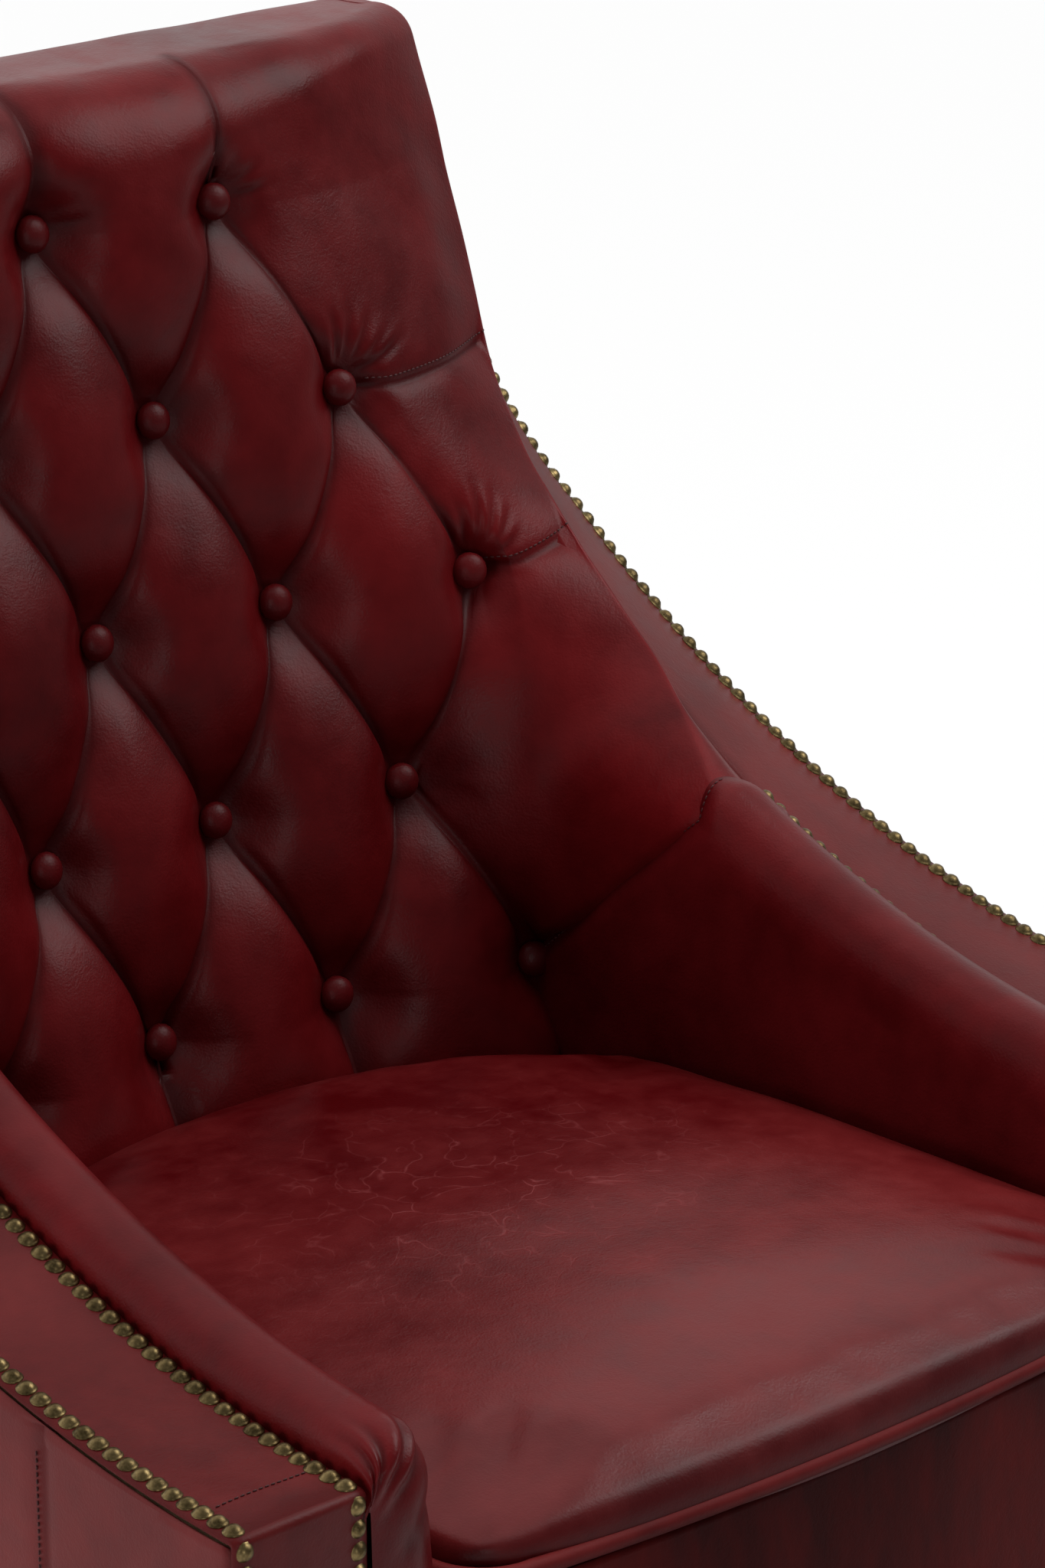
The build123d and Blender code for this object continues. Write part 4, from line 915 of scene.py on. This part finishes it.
depth = eased((levels - tuck_from) / tuck_rise)[:, None]
t = np.linspace(0, 1, return_columns + 1)[None, 1:]
edge_x, edge_y, edge_z = (back_edge[:, k:k + 1] for k in range(3))
tuck_run = 0.006 + depth * (rear_line + trim - 0.007 - edge_y)
tuck = np.stack([edge_x - 0.005 * t, edge_y + t * tuck_run, edge_z + 0 * t], -1)
back = np.concatenate([back, tuck], axis=1)
bend = top_round + (top_round_side - top_round) * eased((back[..., 0] - 0.05) / 0.24)
curl = 1 - np.sqrt(1 - np.clip((levels[:, None] - height + bend) / bend, 0, 1) ** 2)
back[..., 0] *= shrink
back[..., 1] += curl * np.minimum(bend, 0.92 * (rear_line - back[..., 1])) * (back[..., 1] < rear_line)
back[..., 1] = np.minimum(back[..., 1], np.maximum(rear_line - 0.0005, back[..., 1] * (depth < 0.5)))
ridge = back[-1]
top_rows = [ridge + (np.stack([ridge[:, 0], np.full(len(ridge), rear_line[-1, 0]), ridge[:, 2]], -1) - ridge) * k / 9
            for k in range(1, 10)]
for k in range(1, 13):
    h = height - top_round * (1 - cos(pi / 2 * k / 12))
    share = np.clip((h - height + top_round) / top_round, 0, 1)
    cut = top_round_rear * (1 - np.sqrt(1 - share ** 8))
    row = ridge.copy()
    row[:, 0] *= (wide - cut) / (wide - top_round_rear)
    row[:, 1] = rear - (panel_top - h) * rear_slope - panel_gap - cut
    row[:, 2] = h
    top_rows.append(row)
back = np.concatenate([back, np.stack(top_rows)])
out = -grid_normals(back)
out *= np.where(out[80, 20, 1] > 0, -1, 1)


def drag_lines(points, button, lines, broad, depth):
    """Small folds that fan out from a button: a groove with a ridge beside it, along each line."""
    x, z = points[..., 0] - button[0], points[..., 2] - button[1]
    total = np.zeros(points.shape[:2])
    for degrees, length in lines:
        along = x * cos(radians(degrees)) + z * sin(radians(degrees))
        off = (z * cos(radians(degrees)) - x * sin(radians(degrees))) / (broad * (0.7 + along.clip(0) / length * 0.6))
        reach = eased((along - 0.009) / 0.010) * eased((length - along) / (0.6 * length))
        total += depth * reach * (0.7 * np.exp(-(off - 1.6) ** 2) - np.exp(-off ** 2))
    return total


soft = np.ones(back.shape[:2])
soft[-24:] = 0.4
wrinkles = np.zeros(back.shape[:2])
for button, broad, deep, lines in (
        ((3 * half_pitch, row_z[3] + 0.004), 0.0030, 0.0017,
         ((96, 0.050), (78, 0.058), (57, 0.052), (36, 0.050), (24, 0.060))),
        ((4 * half_pitch, row_z[2] + 0.004), 0.0030, 0.0019,
         ((104, 0.050), (84, 0.056), (66, 0.052), (48, 0.046), (32, 0.040))),
        ((2 * half_pitch, row_z[4]), 0.0034, 0.0011, ((14, 0.046), (38, 0.040), (62, 0.038), (128, 0.036))),
        ((0.0, row_z[4]), 0.0034, 0.0010, ((20, 0.040), (48, 0.038), (70, 0.034)))):
    wrinkles += drag_lines(back, button, lines, broad, deep)
back = back + out * wrinkles[..., None]
back = back + out * (ripple(31, back, 10, 0.07, 0.0006) * soft)[..., None]
crease = np.zeros(back.shape[:2])
for i, z in enumerate(levels):
    for s in pleats(float(z))[0]:
        if float(z) > row_z[3] and abs(s) > 3:
            continue
        crease[i] = np.maximum(crease[i], np.exp(-np.abs(back[i, :, 0] - s * half_pitch) / 0.0035)
                               * (np.arange(back.shape[1]) < middle_columns + 6))
pit = np.exp(-(button_near(back[..., 0], back[..., 2]) / 0.014) ** 2)
crease[:len(seam), :seam.shape[1]] = np.maximum(crease[:len(seam), :seam.shape[1]], seam ** 3 * 0.8)
# Painted shade in the pleats, around the buttons, in the wrinkle grooves and along the seams.
back_painted_shade = np.clip(0.85 * crease + 0.55 * pit - 160 * wrinkles.clip(None, 0), 0, 1)
whole_back = np.concatenate([(back * (-1, 1, 1))[:, :0:-1], back], axis=1)
# A painted highlight along the folded edge that laps the band, above the arm.
fold_column = middle_columns + side_columns
edge_painted_highlight = np.exp(-((np.arange(back.shape[1]) - fold_column) / 2.0) ** 2)[None, :]
edge_painted_highlight = edge_painted_highlight * eased((back[..., 2] - 0.58) / 0.02)
whole_painted_shade, whole_painted_highlight = (np.concatenate([part[:, :0:-1], part], axis=1) for part in (back_painted_shade, edge_painted_highlight))


def outward(points, faces, way):
    """Faces turned so that on the whole they look a given way."""
    p, faces = np.asarray(points).reshape(-1, 3), np.asarray(faces)
    a, b, c = p[faces[:, 0]], p[faces[:, 1]], p[faces[:, 2]]
    return faces if np.cross(b - a, c - a).sum(axis=0) @ np.array(way) > 0 else faces[:, ::-1]


back_red = leather_finish("back_leather", colour(0.050, 0.0006, 0.0014), colour(0.128, 0.0046, 0.0060), 0.35)
tufted_back = new_piece("tufted_back", whole_back, outward(whole_back, grid_faces(*whole_back.shape[:2]), (0, -1, 0.3)),
                        back_red, hollow=whole_painted_shade, rubbed=whole_painted_highlight)
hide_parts("back_cover", "back_foam", "top_roll")
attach(tufted_back, "root")

# Buttons
# Domed buttons covered in the same leather, drawn into the tufts by twine through the back.
# They are instances of one shape, each turned by an angle of its own.


def turned(profile, sides):
    """Points and faces of a shape turned round z, from its top to its edge."""
    angle = np.linspace(0, 2 * pi, sides, endpoint=False)
    points = [(0.0, 0.0, profile[0][1])]
    for r, z in profile[1:]:
        points += [(r * cos(a), r * sin(a), z) for a in angle]
    faces = [(0, 1 + k, 1 + (k + 1) % sides) for k in range(sides)]
    for ring in range(len(profile) - 2):
        a, b = 1 + ring * sides, 1 + (ring + 1) * sides
        faces += [(a + k, b + k, b + (k + 1) % sides, a + (k + 1) % sides) for k in range(sides)]
    return points, faces


def scattered(name, shape, points, aims, material, node, spin=0.0, vary=0.0):
    """A Geometry Nodes group sets one instance of a shape on each point, along its aim."""
    tree = bpy.data.node_groups.new(name, "GeometryNodeTree")
    tree.interface.new_socket("Geometry", in_out="INPUT", socket_type="NodeSocketGeometry")
    sockets = {"Shape": "NodeSocketObject", "Finish": "NodeSocketMaterial", "Spin": "NodeSocketFloat",
               "Vary": "NodeSocketFloat"}
    keys = {label: tree.interface.new_socket(label, in_out="INPUT", socket_type=kind).identifier
            for label, kind in sockets.items()}
    tree.interface.new_socket("Geometry", in_out="OUTPUT", socket_type="NodeSocketGeometry")

    def add(kind, settings=None, inputs=None):
        made = tree.nodes.new(kind)
        for key, value in (settings or {}).items():
            setattr(made, key, value)
        for key, value in (inputs or {}).items():
            if isinstance(value, bpy.types.NodeSocket):
                tree.links.new(value, made.inputs[key])
            else:
                made.inputs[key].default_value = value
        return made

    given = add("NodeGroupInput").outputs
    aim = add("GeometryNodeInputNamedAttribute", {"data_type": "FLOAT_VECTOR"}, {0: "aim"})
    align = add("FunctionNodeAlignRotationToVector", {"axis": "Z"}, {"Vector": aim.outputs[0]})
    turn = add("FunctionNodeRandomValue", {"data_type": "FLOAT"}, {2: 0.0, 3: given["Spin"], "Seed": 4})
    axis = add("ShaderNodeCombineXYZ", inputs={"Z": turn.outputs[1]})
    spun = add("FunctionNodeEulerToRotation", inputs={0: axis.outputs[0]})
    whole = add("FunctionNodeRotateRotation", {"rotation_space": "LOCAL"},
                {0: align.outputs[0], 1: spun.outputs[0]})
    less = add("ShaderNodeMath", {"operation": "SUBTRACT"}, {0: 1.0, 1: given["Vary"]})
    size = add("FunctionNodeRandomValue", {"data_type": "FLOAT"}, {2: less.outputs[0], 3: 1.0, "Seed": 9})
    info = add("GeometryNodeObjectInfo", inputs={"Object": given["Shape"]})
    spots = add("GeometryNodeMeshToPoints", inputs={"Mesh": given["Geometry"]})
    placed = add("GeometryNodeInstanceOnPoints", inputs={
        "Points": spots.outputs[0], "Instance": info.outputs["Geometry"], "Rotation": whole.outputs[0],
        "Scale": size.outputs[1]})
    real = add("GeometryNodeRealizeInstances", inputs={0: placed.outputs[0]})
    clad = add("GeometryNodeSetMaterial", inputs={"Geometry": real.outputs[0], "Material": given["Finish"]})
    tree.links.new(clad.outputs[0], add("NodeGroupOutput").inputs[0])

    mesh = bpy.data.meshes.new(name)
    mesh.from_pydata([tuple(p) for p in points], [], [])
    mesh.attributes.new("aim", "FLOAT_VECTOR", "POINT").data.foreach_set("vector", np.asarray(aims, float).ravel())
    piece = bpy.data.objects.new(name, mesh)
    bpy.context.scene.collection.objects.link(piece)
    pattern = new_piece(f"{name}_shape", *shape, material)
    modifier = piece.modifiers.new("scatter", "NODES")
    modifier.node_group = tree
    for label, value in (("Shape", pattern), ("Finish", material), ("Spin", spin), ("Vary", vary)):
        modifier[keys[label]] = value
    depsgraph = bpy.context.evaluated_depsgraph_get()
    solid = bpy.data.meshes.new_from_object(piece.evaluated_get(depsgraph))
    piece.modifiers.clear()
    solid.polygons.foreach_set("use_smooth", [True] * len(solid.polygons))
    piece.data = solid
    bpy.data.objects.remove(pattern)
    if node:
        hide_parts(node)
    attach(piece, "root")
    return piece


button_shape = turned([(0, 0.0125), (0.0034, 0.0122), (0.0066, 0.0111), (0.0090, 0.0094), (0.0103, 0.0072),
                       (0.0104, 0.0050), (0.0090, 0.0030), (0.0060, 0.0016)], 18)
any_turn = 6.2
places, aims = [], []
for row in range(5):
    for j in row_places(row):
        x, z = j * half_pitch, row_z[row]
        slope = (button_plane(x + 0.001, z) - button_plane(x - 0.001, z)) / 0.002
        aim = np.array([slope, -1.0, back_tilt])
        aim /= np.linalg.norm(aim)
        places.append(np.array([x, button_plane(x, z), z]) + aim * 0.0070)
        aims.append(aim)
button_red = leather_finish("button_leather", colour(0.045, 0.0008, 0.0016), colour(0.105, 0.0045, 0.0060), 0.40)
scattered("covered_buttons", button_shape, places, aims, button_red, "back_buttons", spin=any_turn)

# Nailed bands
# A strip of leather along the top of each arm and up the side of the back, folded over the front edge of
# the arm and down its front. It lies over a thin pad and is held along both edges by nails.
band_across = 15
band_puff, band_thick = 0.0016, 0.0024
low_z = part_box("arm_facing_right")[0].z
fold = 0.0035
front_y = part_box("arm_facing_right")[0].y - 0.0002
rise = np.linspace(low_z, arm_height - fold, 50)
turn = np.linspace(0, pi / 2, 8)[1:]
face_y = np.concatenate([np.full(50, front_y), front_y + fold * (1 - np.cos(turn))])
face_z = np.concatenate([rise, arm_height - fold + fold * np.sin(turn)])
lean = np.concatenate([np.zeros(50), turn])
front_out = np.stack([np.full(57, half), face_y, face_z], -1)
front_in = front_out - (band_width - 0.0004, 0, 0)
front_way = np.stack([np.zeros(57), -np.cos(lean), np.sin(lean)], -1)
strip_out = np.concatenate([front_out, outer_edge[2:]])
strip_in = np.concatenate([front_in, inner_edge[2:]])
strip_way = np.concatenate([front_way, band_normal[2:]])
t = np.linspace(0, 1, band_across)
strip = strip_out[:, None] + (strip_in - strip_out)[:, None] * t[None, :, None]
full = band_puff * np.sin(pi * t) ** 0.6
strip = strip + strip_way[:, None] * full[None, :, None]
tight = np.exp(-np.abs(np.arange(len(strip)) - 56) / 1.2)
strip = strip - strip_way[:, None] * (0.0008 * tight[:, None] * np.sin(pi * t)[None, :])[..., None]
strip = strip + strip_way[:, None] * (ripple(41, strip, 7, 0.08, 0.00035) * np.sin(pi * t)[None, :])[..., None]
sides = [strip[:, :1] - strip_way[:, None] * band_thick, strip, strip[:, -1:] - strip_way[:, None] * band_thick]
strip = np.concatenate(sides, axis=1)
# Painted shade along both turned-down edges of the band and across its fold at the front of the arm.
band_painted_shade = np.zeros(strip.shape[:2])
band_painted_shade[:, [0, -1]] = 0.8
band_painted_shade[:, [1, 2, -2, -3]] = 0.35
band_painted_shade = np.clip(band_painted_shade + 0.8 * tight[:, None], 0, 1)
band_red = leather_finish("band_leather", colour(0.060, 0.0030, 0.0034), colour(0.138, 0.0130, 0.0130), 0.40)
for side, sign in (("right", 1), ("left", -1)):
    points = strip * (sign, 1, 1)
    piece = new_piece(f"band_leather_{side}", points, outward(points, grid_faces(*strip.shape[:2]), (0, -0.5, 1)),
                      band_red, hollow=band_painted_shade, rubbed=np.zeros(strip.shape[:2]))
    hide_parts(f"arm_band_{side}", f"arm_facing_{side}")
    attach(piece, "root")

# Outside panels
# Leather over board on the outside of the arms and across the back, pulled flat and tucked under the
# band. Each side panel is joined from two pieces by an upright seam behind the arm front.
panel_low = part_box("outside_arm_right")[0].z
seam_place = -0.201
panel_thick = 0.002
panel_z = np.concatenate([np.linspace(panel_low, arm_height - 0.004, 60), sweep[2:, 1] - 0.004])
panel_y = np.concatenate([np.full(60, arm_front + 0.0003), sweep[2:, 0]])
first, second = 22, 60
rows = []
for y0, z in zip(panel_y, panel_z):
    y1 = rear - (panel_top - z) * rear_slope - panel_gap
    y_seam = max(seam_place, y0 + 0.003)
    rows.append(np.concatenate([np.linspace(y0, y_seam, first)[:-1], np.linspace(y_seam, y1, second)]))
y = np.stack(rows)
z = np.repeat(panel_z[:, None], y.shape[1], axis=1)
side_panel = np.stack([outer_x(y, z), y, z], -1)
inset = np.minimum(np.minimum((z - panel_low) / 0.06, (panel_z[-1] - z) / 0.05),
                   np.minimum((y - y[:, :1]) / 0.04, (y[:, -1:] - y) / 0.03))
inset = np.clip(inset, 0, 1)
panel_puff = 0.0016
side_panel[..., 0] += panel_puff * inset ** 0.5 + ripple(51, side_panel, 8, 0.13, 0.0005) * inset
at_seam = np.exp(-np.abs(y - seam_place) / 0.0035) * (y[:, :1] < seam_place - 0.004)
side_panel[..., 0] -= 0.0018 * at_seam
panel_red = leather_finish("panel_leather", colour(0.070, 0.0070, 0.0072), colour(0.140, 0.0210, 0.0205), 0.42)
# Painted shade in the seam groove and toward the edges of each side panel.
for side, sign in (("right", 1), ("left", -1)):
    points = side_panel * (sign, 1, 1)
    piece = new_piece(f"outside_leather_{side}", points,
                      outward(points, grid_faces(*side_panel.shape[:2]), (sign, 0, 0)), panel_red,
                      hollow=np.clip(0.8 * at_seam + 0.3 * (1 - np.clip(inset * 3, 0, 1)), 0, 1),
                      rubbed=np.zeros(side_panel.shape[:2]))
    thickened(piece, panel_thick)
    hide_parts(f"outside_arm_{side}")
    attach(piece, "root")
rear_count = 90
t, v = np.linspace(-1, 1, rear_count)[None, :], np.linspace(0, 1, rear_count)[:, None]
z = panel_low + (panel_top - panel_low) * v + 0 * t
y = rear - (panel_top - z) * rear_slope
rear_panel = np.stack([(outer_x(y, z) - 0.0039) * t, y, z], -1)
inset = np.clip(np.minimum((1 - np.abs(t)) / 0.12, np.minimum(v, 1 - v) / 0.06), 0, 1)
rear_panel[..., 1] += panel_puff * inset ** 0.5 + ripple(53, rear_panel, 8, 0.16, 0.0006) * inset
# Painted shade toward the edges of the rear panel.
rear_leather = new_piece("outside_back_leather", rear_panel,
                         outward(rear_panel, grid_faces(rear_count, rear_count), (0, 1, 0)), panel_red,
                         hollow=0.3 * (1 - inset), rubbed=np.zeros((rear_count, rear_count)))
thickened(rear_leather, panel_thick)
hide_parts("outside_back")
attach(rear_leather, "root")

# Stitches
# Lines of waxed thread beside the seams: across the sides of the back, up the seam of back and arm, along
# the fold at the front of each band and down the seam of each outside panel.
stitch_pitch, stitch_long, stitch_thick = 0.0036, 0.0026, 0.0005
stitch_outline = ((0, 0.5), (0.7, 0.40), (1, 0.16), (1, -0.16), (0.7, -0.40), (0.1, -0.5))
stitch_shape = turned([(r * stitch_thick, z * stitch_long) for r, z in stitch_outline], 6)
thread, tone, shader = new_finish("waxed_thread")
twist = tone.noise(tone.place(), 2600.0, 1.0)
twist.mixed(colour(0.016, 0.0016, 0.0018), colour(0.075, 0.010, 0.010)).feed(shader, "Base Color")
shader.inputs["Roughness"].default_value = 0.6
sewn = [arm[1, 8:face_count + roll_count - 2] + arm_out[1, 8:face_count + roll_count - 2] * 0.0002,
        strip[59, 3:-3] + strip_way[59] * 0.0003]
for row in seam_rise:
    level = int(np.abs(levels - row_z[row]).argmin()) + 2
    sewn.append(back[level, middle_columns + 5:middle_columns + side_columns + 6]
                + out[level, middle_columns + 5:middle_columns + side_columns + 6] * 0.0002)
upright = panel_z[panel_z < arm_height - 0.006]
seam_x = outer_x(seam_place + 0.004, upright) + 0.0012
sewn.append(np.stack([seam_x, np.full(len(upright), seam_place + 0.004), upright], -1))
places, aims = [], []
for line in sewn:
    stops = np.arange(stitch_pitch, run_along(line)[-1], stitch_pitch)
    spot, ahead = at_stops(line, stops), at_stops(line, stops + 0.001)
    way = (ahead - spot) / np.linalg.norm(ahead - spot, axis=1, keepdims=True)
    places += [spot, spot * (-1, 1, 1)]
    aims += [way, way * (-1, 1, 1)]
scattered("seam_stitches", stitch_shape, np.concatenate(places), np.concatenate(aims), thread, None)

# Nails
# Domed nails with a thin flat rim, almost touching, in old brass that has gone dark in its recesses.
# They are instances on points along both edges of the bands, down the arm fronts and across the back;
# where the folded edge of the inside back covers the inner row, there are none.
nail_size, nail_pitch, nail_margin, nail_vary = 0.0106, 0.0111, 0.006, 0.05
covered_low, covered_high = 0.592, 0.88
nail_shape = turned([(0, 0.0036), (0.0016, 0.0034), (0.0030, 0.0027), (0.0041, 0.0015), (0.0047, 0.0006),
                     (0.0053, 0.0003), (0.0053, -0.0004)], 14)
brass, tone, shader = new_finish("old_brass")
place = tone.place()
patina = tone.noise(place, 130.0, 3.0)
spots = tone.noise(place, 700.0, 2.0)
age = patina.stretched(0.35, 0.66) * 0.7 + spots.stretched(0.4, 0.62) * 0.3
age.mixed(colour(0.075, 0.052, 0.022), colour(0.27, 0.195, 0.085)).feed(shader, "Base Color")
(0.46 - age * 0.12).feed(shader, "Roughness")
shader.inputs["Metallic"].default_value = 1.0
coarse = sweep_line(15, 9, 5)
edge_out, edge_in, edge_way = band_lines(coarse)
inward = edge_in - edge_out
inward /= np.linalg.norm(inward, axis=1, keepdims=True)
down_count = int((arm_height - nail_size - low_z - 0.002) / nail_pitch)
down = arm_height - nail_size / 2 - 0.001 - nail_pitch * np.arange(down_count)
for label, line, x in (("inner_nails", edge_in - inward * nail_margin, half - band_width + nail_margin),
                       ("outer_nails", edge_out + inward * nail_margin, half - nail_margin)):
    run = run_along(line)
    stops = np.arange(nail_pitch / 2, run[-1], nail_pitch)
    spot = at_stops(line, stops)
    way = np.stack([np.interp(stops, run, axis) for axis in edge_way.T], -1)
    if label == "inner_nails":
        shown = (spot[:, 2] < covered_low) | (spot[:, 2] > covered_high)
        spot, way = spot[shown], way[shown]
    facing = np.stack([np.full(down_count, x), np.full(down_count, front_y), down], -1)
    spot = np.concatenate([facing, spot + way * 0.0007])
    way = np.concatenate([np.tile([0.0, -1.0, 0.0], (down_count, 1)), way])
    for side, sign in (("right", 1), ("left", -1)):
        scattered(f"brass_{label}_{side}", nail_shape, spot * (sign, 1, 1), way * (sign, 1, 1), brass,
                  f"{label}_{side}", spin=any_turn, vary=nail_vary)
z = panel_top - nail_margin
x = float(outer_x(rear - nail_margin * rear_slope, z)) - 0.003 - nail_margin
count = int(2 * x / nail_pitch)
spot = [((i - (count - 1) / 2) * nail_pitch, rear - nail_margin * rear_slope + 0.001, z) for i in range(count)]
scattered("brass_rear_nails", nail_shape, spot, [(0, 1, -rear_slope)] * count, brass, "rear_nails",
          spin=any_turn, vary=nail_vary)

# Stage
# Pale floor, white surroundings and soft light; the camera stands where the photograph was taken.
floor_pale, tone, shader = new_finish("floor_pale")
shader.inputs["Base Color"].default_value = colour(0.80, 0.80, 0.80)
shader.inputs["Roughness"].default_value = 0.9
shader.inputs["Specular IOR Level"].default_value = 0.1
floor_glow, glow_share = 1.04, 0.93
glow = tone.node("ShaderNodeEmission", sockets={0: colour(1, 1, 1), 1: floor_glow})
to_camera = tone.node("ShaderNodeLightPath")
lit_floor = Tone(tone.tree, shader.outputs[0])
mixed = tone.node("ShaderNodeMixShader", sockets={0: to_camera * glow_share, 1: lit_floor, 2: glow})
tone.tree.links.new(mixed.socket, tone.tree.nodes["Material Output"].inputs[0])
floor = new_piece("floor", [(-30, -30, 0), (30, -30, 0), (30, 30, 0), (-30, 30, 0)], [(0, 1, 2, 3)], floor_pale)

world = bpy.data.worlds.new("studio")
bpy.context.scene.world = world
world.use_nodes = True
air = Tone(world.node_tree)
to_camera = air.node("ShaderNodeLightPath")
to_gloss = Tone(air.tree, to_camera.socket.node.outputs["Is Glossy Ray"])
way = air.node("ShaderNodeSeparateXYZ", sockets={0: air.node("ShaderNodeTexCoord")})
rearward, upward = (Tone(air.tree, way.socket.node.outputs[name]) for name in "YZ")
bright = (0.42 + rearward * 0.7 + upward * 0.45).stretched(0.0, 1.0, 0.02, 1.0)
backdrop = world.node_tree.nodes["Background"]
backdrop.inputs[0].default_value = colour(1, 1, 1)
sheen = (0.26 + rearward * 0.85).stretched(0.0, 1.0, 0.16, 1.0)
lit = bright * (1 - to_gloss) * 0.34 + sheen * to_gloss * 1.1
(to_camera + (1 - to_camera) * lit).feed(backdrop, "Strength")


def soft_box(name, place, aim, width, tall, power):
    light = bpy.data.lights.new(name, "AREA")
    light.shape, light.size, light.size_y, light.energy = "RECTANGLE", width, tall, power
    lamp = bpy.data.objects.new(name, light)
    lamp.location = place
    lamp.rotation_euler = (Vector(aim) - Vector(place)).to_track_quat("-Z", "Y").to_euler()
    bpy.context.scene.collection.objects.link(lamp)
    return lamp


soft_box("overhead", (0.2, 0.3, 3.0), (0, -0.1, 0.5), 2.0, 2.0, 46).visible_glossy = False
soft_box("right", (1.7, -0.95, 2.6), (0, 0, 0.8), 1.7, 1.7, 38)
soft_box("left", (-3.2, 0.2, 0.8), (0, 0, 0.55), 2.2, 1.2, 56).visible_glossy = False
soft_box("strip", (-2.1, -3.2, 1.5), (0, 0, 0.7), 0.22, 1.5, 10)

eye = Vector((-1.8593, -2.1009, 1.6480))
azimuth, elevation = radians(-43.07), radians(19.15)
camera = bpy.data.objects.new("camera", bpy.data.cameras.new("camera"))
camera.data.sensor_width, camera.data.lens = 36.0, 36.0 * 7534.75 / 2048
camera.location = eye
toward = -Vector((sin(azimuth) * cos(elevation), -cos(azimuth) * cos(elevation), sin(elevation)))
camera.rotation_euler = toward.to_track_quat("-Z", "Y").to_euler()
bpy.context.scene.collection.objects.link(camera)
bpy.context.scene.camera = camera
bpy.context.scene.view_settings.view_transform = "Standard"
